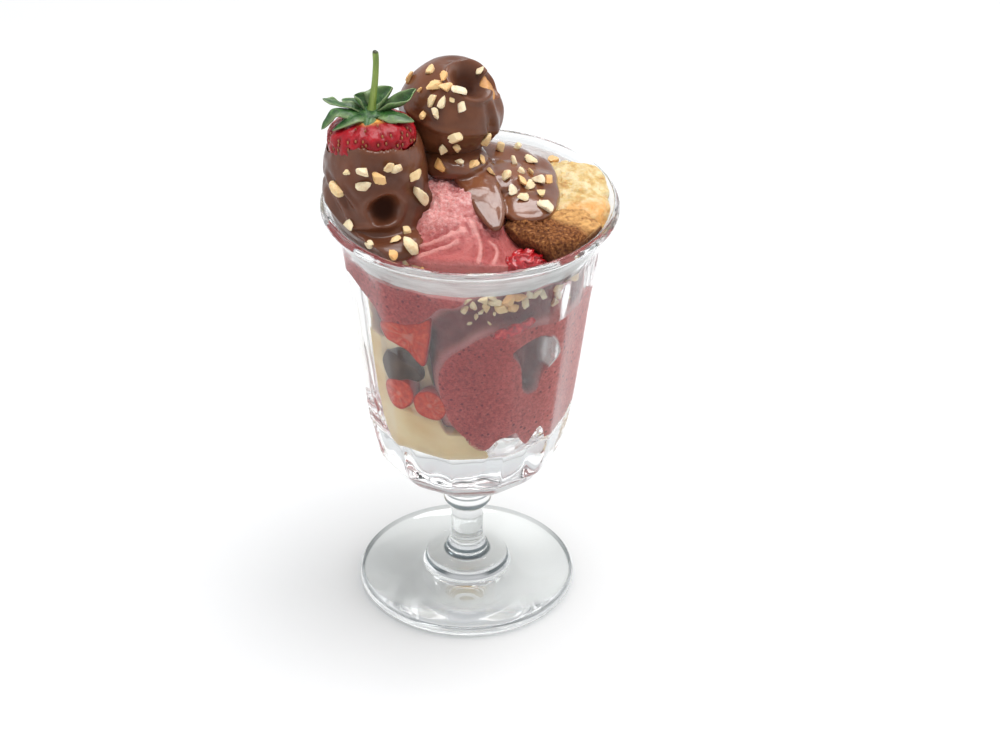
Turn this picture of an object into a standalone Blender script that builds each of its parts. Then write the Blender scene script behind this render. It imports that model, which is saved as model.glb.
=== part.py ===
"""Cheesecake cup: a footed, fluted glass goblet filled with a cream layer, strawberries and
strawberry ice cream, and topped with a dipped strawberry, a chocolate-coated cream puff, a
ribbon of chocolate sauce, chopped nuts and a chunk of cheesecake on its biscuit base.

Lengths are in millimetres and are turned into metres where a mesh is made. The origin is the
centre of the foot's flat underside, +Z is up and -Y is the front. An azimuth is measured in
degrees from the front, towards +X.
"""
import math

import bmesh
import bpy
import numpy as np
from mathutils import Vector

MM = 0.001
GAP = 0.3                    # clearance that touching solids keep
GROWTH = 0.33                # how far a neighbour is grown before it is cut out of a solid
TINY = 0.02                  # edges shorter than this are closed after a cut
FLAT = 5.0                   # degrees within which neighbouring faces become one

# Driving sizes of the glass
GLASS_HEIGHT = 150.0
RIM_RADIUS = 48.0
FOOT_RADIUS = 36.8
FLUTES = 12
FLUTE_PHASE = -10.0          # azimuth of one of the ribs between the flutes
FLUTE_DEPTH = 1.5
GLASS_COLUMNS = 36           # a multiple of FLUTES

# Driving sizes and places of what stands above the rim
BERRY_TOP = (-32.0, -8.0, 184.0)
BERRY_TIP = (-27.0, -13.0, 141.0)
BERRY_RADIUS = 13.8
PUFF_CENTRE = (-6.5, 8.0, 178.4)
PUFF_RADIUS = 14.6
PUFF_COAT = 1.5
MOUND_CENTRE = (-5.0, -6.0)
MOUND_HEIGHT = 17.0

# Chocolate of the coats and the sauce
CHOCOLATE = (0.16, 0.07, 0.04)
CHOCOLATE_ROUGHNESS = 0.25

# Chopped nuts: each is set where a line from this viewpoint, through the point (x, 0, z) of the
# upright plane across the cup, meets the food. Entries are x, z and the nut's size.
VIEWPOINT = (0.0, -828.0, 627.0)
NUTS_ON_PUFF = ((-8.2, 201.6, 2.3), (-18.8, 192.7, 3.1), (-12.5, 195.6, 2.6), (-8.1, 193.2, 3.5),
                (-11.3, 189.7, 3.8), (-7.5, 189.4, 3.5), (-4.1, 188.0, 3.5), (-12.2, 185.1, 3.5),
                (-8.8, 184.4, 2.8), (-3.1, 182.7, 3.1), (-14.7, 179.7, 3.1), (-10.9, 180.1, 3.1),
                (-4.6, 172.7, 3.8), (4.9, 171.7, 3.5), (-8.4, 168.0, 3.8))
NUTS_ON_BERRY = ((-42.0, 153.4, 3.8), (-39.2, 158.9, 2.0), (-33.8, 159.3, 3.5),
                 (-33.9, 153.5, 3.8), (-29.1, 156.8, 4.5), (-25.8, 161.2, 4.2),
                 (-23.3, 160.5, 3.5), (-18.2, 157.7, 4.6), (-16.7, 150.7, 4.6),
                 (-38.8, 139.0, 3.6), (-20.2, 137.3, 2.8), (-31.9, 132.0, 3.1),
                 (-19.3, 131.5, 4.5))
NUTS_ON_SAUCE = ((-3.6, 162.9, 2.4), (1.2, 161.9, 2.8), (6.6, 159.0, 2.4), (9.3, 167.4, 3.5),
                 (13.5, 163.1, 2.8), (15.8, 159.9, 2.8), (15.0, 168.2, 2.8), (20.8, 166.8, 3.8),
                 (18.9, 163.5, 3.1), (11.7, 157.6, 3.1), (16.2, 156.2, 3.1), (21.6, 155.9, 3.5),
                 (19.1, 153.7, 3.5), (13.7, 152.2, 3.5), (16.9, 150.0, 3.1), (22.7, 151.1, 3.1),
                 (24.0, 146.7, 4.5), (24.8, 156.7, 3.1), (19.0, 159.2, 2.8))
NUTS_AT_WALL = ((-1.0, 107.9, 3.1), (4.8, 110.3, 3.1), (8.1, 111.8, 3.5), (11.7, 110.3, 3.1),
                (15.3, 111.9, 3.1), (19.2, 112.3, 3.1), (23.1, 112.8, 3.1))


# ---------------------------------------------------------------- tools for making solids

def smooth(value, low, high):
    """0 below low, 1 above high, and an S-shaped step between them."""
    t = np.clip((value - low) / (high - low), 0.0, 1.0)
    return t * t * (3.0 - 2.0 * t)


def bump(angle, centre, half_width):
    """1 at the centre azimuth, falling smoothly to 0 at half_width degrees away."""
    away = np.abs((angle - centre + 180.0) % 360.0 - 180.0)
    return 1.0 - smooth(away, 0.0, half_width)


def plateau(angle, low, high, edge):
    """1 between the azimuths low and high, falling to 0 within edge degrees outside them."""
    middle = 0.5 * (low + high)
    away = np.abs((angle - middle + 180.0) % 360.0 - 180.0)
    return 1.0 - smooth(away, 0.5 * (high - low), 0.5 * (high - low) + edge)


def direction(azimuth, elevation):
    """Unit vector at an azimuth from the front and an elevation from the horizontal."""
    a, e = np.radians(azimuth), np.radians(elevation)
    return np.stack([np.cos(e) * np.sin(a), -np.cos(e) * np.cos(a), np.sin(e) + 0.0 * a], -1)


def ripple(points, wavelength, seed):
    """Smooth uneven value of about -1 to 1 at each point: the mean of five seeded sine waves."""
    draw = np.random.default_rng(seed)
    total = np.zeros(points.shape[:-1])
    for _ in range(5):
        heading = draw.normal(size=3)
        heading *= draw.uniform(0.7, 1.4) / np.linalg.norm(heading)
        phase = draw.uniform(0.0, 2.0 * math.pi)
        total += np.sin(points @ heading * (2.0 * math.pi / wavelength) + phase)
    return total / 3.0


def frame_along(axis):
    """Three unit vectors: two across the axis and the axis itself."""
    along = np.asarray(axis, float)
    along = along / np.linalg.norm(along)
    side = np.cross(along, (0.0, 1.0, 0.0) if abs(along[1]) < 0.9 else (1.0, 0.0, 0.0))
    side /= np.linalg.norm(side)
    return side, np.cross(along, side), along


def add_solid(name, start, rings, end):
    """Closed triangle mesh from rings of points (rows x columns x 3) and its two end points."""
    rows, columns = rings.shape[:2]
    points = np.vstack([[start], rings.reshape(-1, 3), [end]]) * MM
    here = np.arange(columns)
    beside = (here + 1) % columns
    faces = [np.stack([0 * here, 1 + here, 1 + beside], 1)]
    for row in range(rows - 1):
        low = 1 + row * columns
        high = low + columns
        faces.append(np.stack([low + here, high + beside, low + beside], 1))
        faces.append(np.stack([low + here, high + here, high + beside], 1))
    last = 1 + (rows - 1) * columns
    faces.append(np.stack([last + here, len(points) - 1 + 0 * here, last + beside], 1))
    faces = np.vstack(faces)
    corner = points[faces]
    volume = np.einsum("ij,ij->i", corner[:, 0], np.cross(corner[:, 1], corner[:, 2])).sum()
    if volume < 0.0:
        faces = faces[:, ::-1]
    mesh = bpy.data.meshes.new(name)
    mesh.from_pydata(points.tolist(), [], faces.tolist())
    thing = bpy.data.objects.new(name, mesh)
    bpy.context.scene.collection.objects.link(thing)
    return thing


def finish(thing, colour, roughness, alpha=1.0, sharp=40.0):
    """Gives an object its own material and rounds the shading of its faces."""
    material = bpy.data.materials.new(thing.name)
    material.use_nodes = True
    shader = material.node_tree.nodes["Principled BSDF"]
    shader.inputs["Base Color"].default_value = (*colour, 1.0)
    shader.inputs["Roughness"].default_value = roughness
    shader.inputs["Metallic"].default_value = 0.0
    if alpha < 1.0:
        shader.inputs["Transmission Weight"].default_value = 1.0
        shader.inputs["IOR"].default_value = 1.5
        material.diffuse_color = (*colour, alpha)
    else:
        material.diffuse_color = (*colour, 1.0)
    thing.data.materials.clear()
    thing.data.materials.append(material)
    thing.data.shade_smooth()
    thing.data.set_sharp_from_angle(angle=math.radians(sharp))
    return thing


def drop(thing):
    """Removes an object and its mesh."""
    mesh = thing.data
    bpy.data.objects.remove(thing)
    bpy.data.meshes.remove(mesh)


def keep_largest(mesh):
    """Closes tiny edges, drops loose scraps and leaves the mesh as triangles."""
    work = bmesh.new()
    work.from_mesh(mesh)
    bmesh.ops.dissolve_degenerate(work, dist=TINY * MM, edges=work.edges)
    bmesh.ops.triangulate(work, faces=work.faces)
    unseen = set(work.faces)
    islands = []
    while unseen:
        stack = [unseen.pop()]
        island = set(stack)
        while stack:
            face = stack.pop()
            for edge in face.edges:
                for other in edge.link_faces:
                    if other in unseen:
                        unseen.remove(other)
                        island.add(other)
                        stack.append(other)
        islands.append(island)
    islands.sort(key=lambda faces: sum(face.calc_area() for face in faces))
    for island in islands[:-1]:
        bmesh.ops.delete(work, geom=list(island), context="FACES")
    work.to_mesh(mesh)
    work.free()


def simplify(thing, angle):
    """Merges neighbouring faces that lie within an angle of each other, as triangles again."""
    work = bmesh.new()
    work.from_mesh(thing.data)
    bmesh.ops.dissolve_limit(work, angle_limit=math.radians(angle), verts=work.verts,
                             edges=work.edges)
    bmesh.ops.triangulate(work, faces=work.faces)
    work.to_mesh(thing.data)
    work.free()


def apply_boolean(thing, operation, other=None, group=None):
    """Adds a Boolean modifier with an object or a collection and applies it."""
    cut = thing.modifiers.new("cut", "BOOLEAN")
    cut.operation = operation
    cut.solver = "MANIFOLD"
    if group is None:
        cut.object = other
    else:
        cut.operand_type = "COLLECTION"
        cut.collection = group
    shape = thing.evaluated_get(bpy.context.evaluated_depsgraph_get())
    old = thing.data
    thing.data = bpy.data.meshes.new_from_object(shape)
    thing.modifiers.clear()
    thing.data.name = thing.name
    bpy.data.meshes.remove(old)
    keep_largest(thing.data)


def make_room(thing, neighbour):
    """Cuts a neighbour, grown by the gap, out of an object."""
    mesh = neighbour.data.copy()
    points = np.empty(len(mesh.vertices) * 3)
    normals = np.empty(len(mesh.vertices) * 3)
    mesh.vertices.foreach_get("co", points)
    mesh.vertex_normals.foreach_get("vector", normals)
    mesh.vertices.foreach_set("co", (points + normals * GROWTH * MM).astype(np.float32))
    mesh.update()
    grown = bpy.data.objects.new("grown", mesh)
    bpy.context.scene.collection.objects.link(grown)
    apply_boolean(thing, "DIFFERENCE", grown)
    drop(grown)


def box_of(thing):
    """Lowest and highest corner of an object's mesh."""
    points = np.empty(len(thing.data.vertices) * 3)
    thing.data.vertices.foreach_get("co", points)
    points = points.reshape(-1, 3)
    return points.min(0), points.max(0)


def settle(thing, placed):
    """Fits a new solid round those placed before it, then adds it to them."""
    low, high = box_of(thing)
    for other in placed:
        other_low, other_high = box_of(other)
        if (low < other_high + GAP * MM).all() and (high > other_low - GAP * MM).all():
            make_room(thing, other)
    simplify(thing, FLAT)
    placed.append(thing)


def fuse(thing, pieces):
    """Joins a list of overlapping objects to one object with one union on a collection."""
    group = bpy.data.collections.new("pieces")
    bpy.context.scene.collection.children.link(group)
    for piece in pieces:
        bpy.context.scene.collection.objects.unlink(piece)
        group.objects.link(piece)
    apply_boolean(thing, "UNION", group=group)
    for piece in pieces:
        drop(piece)
    bpy.data.collections.remove(group)
    return thing


def ellipsoid(name, centre, sizes, axes=None, uneven=0.0, seed=1, rows=9, columns=14,
              box=2.0, shape=None):
    """Closed blob: an ellipsoid with the given half sizes along its own axes.

    box is the power of the superellipsoid, 2 for round and 5 for a block with round edges.
    uneven is the depth of its unevenness, and shape moves the finished points.
    """
    tilt = np.pi * (np.arange(1, rows + 1) / (rows + 1.0) - 0.5)
    turn = 2.0 * np.pi * np.arange(columns) / columns
    tilt, turn = np.meshgrid(tilt, turn, indexing="ij")
    unit = np.stack([np.cos(tilt) * np.cos(turn), np.cos(tilt) * np.sin(turn), np.sin(tilt)], -1)
    poles = np.array([[0.0, 0.0, -1.0], [0.0, 0.0, 1.0]])

    def place(ball):
        if box != 2.0:
            ball = ball / (np.abs(ball) ** box).sum(-1, keepdims=True) ** (1.0 / box)
        side = np.eye(3) if axes is None else np.array(axes)
        points = np.asarray(centre) + (ball * np.asarray(sizes)) @ side
        if uneven:
            points = points + (ball @ side) * (uneven * ripple(points, 14.0, seed))[..., None]
        return points if shape is None else shape(points)

    ends = place(poles)
    return add_solid(name, ends[0], place(unit), ends[1])


def nut(centre, size, draw):
    """One chopped nut: a squat five-sided chunk with its own turn and proportions."""
    axis = draw.normal(size=3)
    stretch = size * 0.5 * draw.uniform((0.85, 0.75, 0.6), (1.15, 1.05, 0.85))
    return ellipsoid("nut", centre, stretch, axes=frame_along(axis), uneven=0.2,
                     seed=int(draw.integers(1000)), rows=2, columns=5, box=3.0)


def add_nuts(thing, places, seed, clear=None):
    """Fuses nuts to an object, each half sunk where its line of sight meets the surface."""
    draw = np.random.default_rng(seed)
    eye = np.array(VIEWPOINT)
    pieces = []
    for x, z, size in places:
        line = np.array([x, 0.0, z]) - eye
        line /= np.linalg.norm(line)
        found, place, normal, _ = thing.ray_cast(Vector(eye * MM), Vector(line))
        if found:
            centre = np.array(place) / MM + 0.22 * size * np.array(normal)
            if clear is not None:
                centre = inside_glass(centre[None], clear + 0.5 * size)[0]
            pieces.append(nut(centre, size, draw))
    return fuse(thing, pieces)


# ---------------------------------------------------------------- glass

# Height and radius of the outside, up the foot, stem, knop, bowl and rim
OUTSIDE = ((0.0, 34.6), (0.7, 36.3), (1.9, FOOT_RADIUS), (3.2, 36.2), (3.9, 34.6), (4.6, 29.0),
           (6.8, 14.2), (8.6, 13.6), (9.2, 12.4), (10.2, 8.4), (12.0, 6.9), (13.2, 7.2),
           (14.6, 6.2), (16.5, 5.5), (26.5, 5.5), (30.5, 6.5), (32.6, 8.0), (39.6, 8.5),
           (42.6, 9.8), (44.4, 13.8), (45.6, 17.6), (47.4, 21.5), (50.4, 25.4), (54.2, 28.6),
           (58.6, 31.1), (72.0, 34.3), (94.0, 37.2), (115.0, 39.6), (128.0, 41.5), (137.0, 42.6),
           (142.0, 44.0), (145.5, 46.0), (147.6, RIM_RADIUS), (149.4, 47.4))
# Height and radius of the inside, from the lip down to the thick rounded bottom
INSIDE = ((GLASS_HEIGHT, 46.4), (149.0, 45.2), (146.0, 44.0), (141.0, 42.0), (136.0, 40.5),
          (126.0, 38.9), (115.0, 37.5), (104.0, 36.4), (94.0, 35.0), (84.0, 33.6), (75.0, 31.0),
          (69.6, 27.2), (67.0, 21.0), (66.2, 10.0))
INSIDE_BOTTOM = 66.0


def flute_depth(height):
    """Depth of the flutes: none on foot and stem, shallow under the bowl, none at the lip."""
    rise = 0.45 * smooth(height, 44.0, 51.0) + 0.55 * smooth(height, 52.0, 74.0)
    return FLUTE_DEPTH * rise * (1.0 - smooth(height, 128.0, 141.0))


def inner_radius(height):
    """Radius of the bowl's inside at a height."""
    inside = np.array(INSIDE[::-1])
    heights = np.concatenate([[INSIDE_BOTTOM], inside[:, 0]])
    radii = np.concatenate([[0.0], inside[:, 1]])
    return np.interp(height, heights, radii)


def inside_glass(points, clear=GAP):
    """Draws points in to just inside the bowl's wall; above the lip the limit opens slowly."""
    points = points.copy()
    away = np.maximum(np.hypot(points[..., 0], points[..., 1]), 1e-6)
    lip = GLASS_HEIGHT - 1.0
    room = inner_radius(np.minimum(points[..., 2], lip)) - clear
    room = np.maximum(room + 0.5 * np.maximum(points[..., 2] - lip - 1.4, 0.0), 0.1)
    scale = np.minimum(1.0, room / away)
    points[..., 0] *= scale
    points[..., 1] *= scale
    return points


def make_glass():
    """Turned profile whose bowl is pressed into concave flutes between sharp ribs."""
    azimuth = FLUTE_PHASE + 360.0 * np.arange(GLASS_COLUMNS) / GLASS_COLUMNS
    across = np.abs(np.sin(np.radians((azimuth - FLUTE_PHASE) * FLUTES / 2.0)))
    turn = np.radians(azimuth)
    rings = []
    for height, radius in OUTSIDE:
        here = radius - flute_depth(height) * across
        rings.append(np.stack([here * np.sin(turn), -here * np.cos(turn), 0 * turn + height], 1))
    for height, radius in INSIDE:
        rings.append(np.stack([radius * np.sin(turn), -radius * np.cos(turn),
                               0 * turn + height], 1))
    glass = add_solid("glass", (0.0, 0.0, 0.0), np.array(rings), (0.0, 0.0, INSIDE_BOTTOM))
    return finish(glass, (0.92, 0.95, 0.96), 0.03, alpha=0.35, sharp=25.0)


# ---------------------------------------------------------------- what shows through the glass

def wall_piece(name, azimuth, height, sizes, colour, roughness, uneven, seed, depth=1.0):
    """Blob pressed against the inside of the wall at an azimuth and a height."""
    out = direction(azimuth, 0.0)
    side = np.cross(out, (0.0, 0.0, 1.0))
    away = inner_radius(height) - sizes[0] * depth
    centre = out * away + np.array([0.0, 0.0, height])
    piece = ellipsoid(name, centre, sizes, axes=(out, side, (0.0, 0.0, 1.0)), uneven=uneven,
                      seed=seed, rows=7, columns=12, box=2.6, shape=inside_glass)
    return finish(piece, colour, roughness)


def make_wall_pieces():
    """Strawberry pieces and a pool of chocolate that lie against the front left wall."""
    red = (0.70, 0.12, 0.09)
    wedge = wall_piece("berry_wedge", -35.0, 113.5, (6.0, 8.6, 9.0), red, 0.35, 0.8, 11)
    pocket = wall_piece("chocolate_pocket", -42.0, 100.6, (5.0, 8.4, 4.6),
                        (0.07, 0.03, 0.02), 0.3, 0.5, 12)
    left = wall_piece("berry_half_left", -49.0, 90.2, (5.0, 5.0, 6.0), red, 0.35, 0.6, 13)
    front = wall_piece("berry_half_front", -22.0, 89.6, (5.5, 6.6, 5.6), red, 0.35, 0.6, 14)
    return [wedge, pocket, left, front]


CREAM_LEVEL = 68.4           # height of the cream's edge at the back and right
CREAM_MIDDLE = 70.0


def make_cream():
    """Pale cream poured in the bottom of the glass, which climbs the left side in a column."""
    azimuth = 360.0 * np.arange(32) / 32
    turn = np.radians(azimuth)
    column = plateau(azimuth, -128.0, -62.0, 34.0)
    front = plateau(azimuth, -160.0, -4.0, 26.0)
    top = CREAM_LEVEL + 12.0 * front + 32.0 * column + 0.7 * np.sin(3.0 * turn)
    rings = []

    def ring(radius, height):
        rings.append(np.stack([radius * np.sin(turn), -radius * np.cos(turn),
                               height + 0 * turn], 1))

    for part in np.linspace(0.06, 1.0, 8):
        height = INSIDE_BOTTOM + GAP + (top - INSIDE_BOTTOM - GAP) * part
        wall = inner_radius(height - GAP) - GAP
        leaning = 29.0 + (wall - 29.0) * (1.0 - smooth(height, 76.0, 88.0))
        ring(np.minimum(wall, np.maximum(leaning, 12.0)), height)
    edge = rings[-1]
    edge_radius = np.hypot(edge[:, 0], edge[:, 1])
    for part in (0.8, 0.5, 0.2):
        ring(edge_radius * part, CREAM_MIDDLE + (top - CREAM_MIDDLE) * smooth(part, 0.0, 0.95))
    cream = add_solid("cream_layer", (0.0, 0.0, INSIDE_BOTTOM + GAP), np.array(rings),
                      (0.0, 0.0, CREAM_MIDDLE))
    return finish(cream, (0.84, 0.72, 0.50), 0.4)


# ---------------------------------------------------------------- strawberry ice cream

def mound(x, y):
    """Height of the ice cream's top: a sloping bed with one rounded scoop standing on it."""
    bed = 142.6 - 0.1 * y
    away = np.hypot((x - MOUND_CENTRE[0]) / 19.0, (y - MOUND_CENTRE[1]) / 27.0)
    return bed + MOUND_HEIGHT * np.exp(-away ** 3)


def ice_cream_radius(azimuth, height):
    """Radius of the ice cream under the rim.

    It touches the wall in a broad smear on the right and in a band under the rim, stands back
    from the wall in two hollows, and is only a core on the left, beside the cream column.
    """
    wall = inner_radius(height) - GAP
    under_rim = smooth(height, 126.0, 137.0)
    smear_left = -6.0 + 14.0 * smooth(height, 92.0, 122.0) + 14.0 * smooth(-height, -92.0, -74.0)
    smear = plateau(azimuth, smear_left, 100.0, 10.0) * (1.0 - smooth(height, 112.0, 122.0))
    top_left = plateau(azimuth, -80.0, -24.0, 16.0) * smooth(height, 112.0, 126.0)
    back = plateau(azimuth, 120.0, 215.0, 20.0) * 0.6
    left_core = plateau(azimuth, -150.0, -30.0, 16.0) * (1.0 - smooth(height, 112.0, 126.0))
    contact = np.clip(under_rim + smear + top_left + back, 0.0, 1.0) * (1.0 - left_core)
    hole = bump(azimuth, 39.0, 17.0) * bump(height, 103.5, 12.5)
    return wall - 5.0 * (1.0 - contact) - 11.0 * left_core - 7.0 * hole


UNDERSIDE_MIDDLE = 76.0      # height of the ice cream's underside on the axis


def make_ice_cream():
    """The scoop, the melted mass below it, and the rounded drips at its lower edge."""
    columns = 36
    azimuth = 360.0 * np.arange(columns) / columns
    turn = np.radians(azimuth)
    drips = 4.0 * bump(azimuth, 4.0, 9.0) + 5.0 * bump(azimuth, 37.0, 7.0) \
        + 6.0 * bump(azimuth, 62.0, 10.0)
    low = 80.0 - 3.0 * plateau(azimuth, -12.0, 90.0, 20.0) - drips
    rim_reach = inner_radius(147.0) - GAP
    rim_height = mound(rim_reach * np.sin(turn), -rim_reach * np.cos(turn))
    rings = []

    def ring(radius, height):
        points = np.stack([radius * np.sin(turn), -radius * np.cos(turn), height + 0 * turn], 1)
        rings.append(inside_glass(points))

    for part in (0.3, 0.75):
        ring(ice_cream_radius(azimuth, low) * part,
             UNDERSIDE_MIDDLE + (low + 1.5 - UNDERSIDE_MIDDLE) * part)
    for part in np.linspace(0.0, 1.0, 10):
        height = low + (rim_height - low) * part
        ring(ice_cream_radius(azimuth, height), height)
    for part in (0.91, 0.79, 0.66, 0.53, 0.4, 0.26, 0.12):
        x = MOUND_CENTRE[0] * (1.0 - part) + rim_reach * part * np.sin(turn)
        y = MOUND_CENTRE[1] * (1.0 - part) - rim_reach * part * np.cos(turn)
        rings.append(np.stack([x, y, mound(x, y)], 1))
    ice = add_solid("strawberry_ice_cream", (0.0, 0.0, UNDERSIDE_MIDDLE), np.array(rings),
                    (*MOUND_CENTRE, mound(*MOUND_CENTRE)))
    add_nuts(ice, NUTS_AT_WALL, 81, clear=0.5)
    return finish(ice, (0.68, 0.24, 0.25), 0.5)


# ---------------------------------------------------------------- dipped strawberry

def berry_profile(along):
    """Radius of the strawberry from its flat shoulders, 0, to its blunt tip, 1."""
    shoulder = 1.0 - np.clip(1.0 - along / 0.16, 0.0, 1.0) ** 3.0
    taper = 1.0 - np.clip((along - 0.25) / 0.75, 0.0, 1.0) ** 2.1
    return BERRY_RADIUS * np.sqrt(shoulder) * taper ** 0.62


def berry_point(along):
    """Point on the strawberry's axis, as a share of the way from its top to its tip."""
    return np.array(BERRY_TOP) + along * np.subtract(BERRY_TIP, BERRY_TOP)


def berry_ring(along, turn, radius):
    """Points round the strawberry's leaning axis."""
    side, other, _ = frame_along(np.subtract(BERRY_TIP, BERRY_TOP))
    return berry_point(along) + radius[:, None] * (np.cos(turn)[:, None] * side
                                                   + np.sin(turn)[:, None] * other)


def make_strawberry():
    """Whole strawberry, shoulders up, turned about its own leaning axis."""
    turn = 2.0 * np.pi * np.arange(20) / 20
    rings = []
    for along in (0.006, 0.03, 0.08, 0.15, 0.25, 0.38, 0.5, 0.62, 0.74, 0.85, 0.94, 0.985):
        radius = berry_profile(along) * (1.0 + 0.025 * np.sin(3.0 * turn + 1.0))
        rings.append(berry_ring(along, turn, radius))
    berry = add_solid("strawberry", berry_point(0.028), np.array(rings), berry_point(1.0))
    return finish(berry, (0.62, 0.06, 0.05), 0.3)


def make_strawberry_coat():
    """Thick chocolate round the lower berry, with the pool that ran out round its foot.

    Its upper edge is lifted at the front. It is made solid, and the strawberry's own room is
    cut out of it when it is settled.
    """
    turn = 2.0 * np.pi * np.arange(20) / 20
    lifted = np.exp(-((turn - math.radians(102.0)) / math.radians(34.0)) ** 2)
    edge = 0.195 - 0.078 * lifted
    rings = []
    for part, radius in ((1.0, 9.0), (0.97, 13.5), (0.9, 16.0), (0.8, 17.0), (0.66, 16.6),
                         (0.5, 16.0), (0.3, 15.6), (0.1, 15.2), (0.0, 14.6), (0.0, 7.0)):
        along = edge + (1.04 - edge) * part
        uneven = radius + 0.5 * np.sin(2.0 * turn + 6.0 * part)
        rings.append(inside_glass(berry_ring(along[:, None], turn, uneven)))
    coat = add_solid("strawberry_chocolate", berry_point(1.06), np.array(rings),
                     berry_point(0.2))
    pool = ellipsoid("pool", (-29.5, -19.0, 149.0), (17.0, 18.5, 4.2), uneven=0.8, seed=31,
                     rows=6, columns=16, box=2.4, shape=inside_glass)
    ear = ellipsoid("ear", (-16.0, -13.0, 154.0), (5.0, 7.5, 8.0), uneven=0.6, seed=32,
                    rows=6, columns=10)
    fuse(coat, [pool, ear])
    dimple = ellipsoid("dimple", (-26.8, -29.0, 159.0), (5.4, 4.6, 4.6), rows=6, columns=12)
    apply_boolean(coat, "DIFFERENCE", dimple)
    drop(dimple)
    add_nuts(coat, NUTS_ON_BERRY, 33)
    return finish(coat, CHOCOLATE, CHOCOLATE_ROUGHNESS)


# Each leaf: a point halfway along its middle, its tip, its width, and how far it cups upward
LEAVES = (((-41.2, -7.0, 187.4), (-46.2, -6.0, 188.6), 3.4, 0.35),
          ((-42.6, -10.8, 186.6), (-46.4, -12.6, 181.2), 5.4, -0.35),
          ((-34.6, -5.6, 187.4), (-36.4, -4.2, 189.0), 5.0, 0.6),
          ((-27.2, -4.6, 187.8), (-24.4, -1.8, 190.6), 6.6, 0.5),
          ((-21.6, -6.4, 187.0), (-17.0, -4.2, 191.4), 4.4, 0.4),
          ((-23.4, -11.2, 186.2), (-17.4, -13.0, 184.6), 6.2, -0.2),
          ((-36.6, -11.2, 186.2), (-41.6, -13.2, 184.8), 4.6, 0.1),
          ((-31.0, -12.2, 185.6), (-30.6, -15.4, 183.8), 3.2, -0.1),
          ((-30.0, -3.4, 186.4), (-29.0, 1.2, 186.2), 5.0, 0.2),
          ((-36.2, -3.2, 186.0), (-40.6, 0.8, 184.8), 5.0, 0.2))
LEAF_THICKNESS = 0.8
# The stem: places along its middle, and its radius there
STEM = ((-31.0, -8.0, 183.6, 1.8), (-30.7, -8.0, 187.6, 1.35), (-30.3, -8.0, 191.0, 1.15),
        (-29.7, -8.0, 196.5, 1.05), (-29.4, -8.0, 202.0, 0.95), (-29.6, -8.0, 206.0, 0.7))


def leaf(cap, middle, tip, width, cup):
    """Thin pointed leaf: a skin cupped across its midrib, and a matching skin below it.

    The midrib is the parabola that runs from the cap through the leaf's middle to its tip.
    """
    middle, tip = np.array(middle), np.array(tip)
    out = (middle - cap) * (1.0, 1.0, 0.0)
    out /= np.linalg.norm(out)
    start = cap + 2.2 * out
    across = np.cross(tip - start, (0.0, 0.0, 1.0))
    across /= np.linalg.norm(across)
    below = np.array([0.0, 0.0, LEAF_THICKNESS])
    rings = []
    for part in (0.0, 0.4, 0.8):
        half = 0.5 * width * math.sin(math.pi * (0.16 + 0.82 * part)) ** 0.8
        rib = (1.0 - part) * (1.0 - 2.0 * part) * start + 4.0 * part * (1.0 - part) * middle \
            + part * (2.0 * part - 1.0) * tip
        left = rib - half * across + (0.0, 0.0, cup * half)
        right = rib + half * across + (0.0, 0.0, cup * half)
        rings.append([left, rib, right, right - below, rib - below, left - below])
    return add_solid("leaf", start - 1.5 * out - 0.5 * below, np.array(rings), tip - 0.4 * below)


def make_calyx():
    """Green cap of the strawberry: a small button, ten leaves and the long stem."""
    cap = np.add(BERRY_TOP, (1.0, 0.0, 1.1))
    calyx = ellipsoid("calyx", cap, (4.4, 4.4, 0.9), rows=3, columns=8)
    stem = np.array(STEM)
    turn = 2.0 * np.pi * np.arange(6) / 6
    rings = [np.stack([x + r * np.cos(turn), y + r * np.sin(turn), z + 0 * turn], 1)
             for x, y, z, r in stem]
    pieces = [add_solid("stem", stem[0, :3] - (0, 0, 0.3), np.array(rings),
                        stem[-1, :3] + (0, 0, 0.4))]
    for middle, tip, width, cup in LEAVES:
        pieces.append(leaf(cap, middle, tip, width, cup))
    fuse(calyx, pieces)
    return finish(calyx, (0.20, 0.33, 0.12), 0.5)


# ---------------------------------------------------------------- cream puff

DENT_DEPTH = 4.2
DENT_REACH = 20.0            # degrees from the dent's middle to its wall
BARE = (95.0, 28.0)          # azimuth and elevation at which the bun shows through its coat
BARE_RADIUS = 4.6


def puff_surface(unit, radius, seed, depth):
    """Points of an uneven ball round the puff's centre, sunk in a dent at its upper right."""
    points = np.asarray(PUFF_CENTRE) + unit * radius
    away = np.degrees(np.arccos(np.clip(unit @ direction(50.0, 57.0), -1.0, 1.0)))
    dent = DENT_DEPTH * np.exp(-(away / DENT_REACH) ** 4)
    return points + unit * (depth * ripple(points, 22.0, seed) - dent)[..., None]


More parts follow.
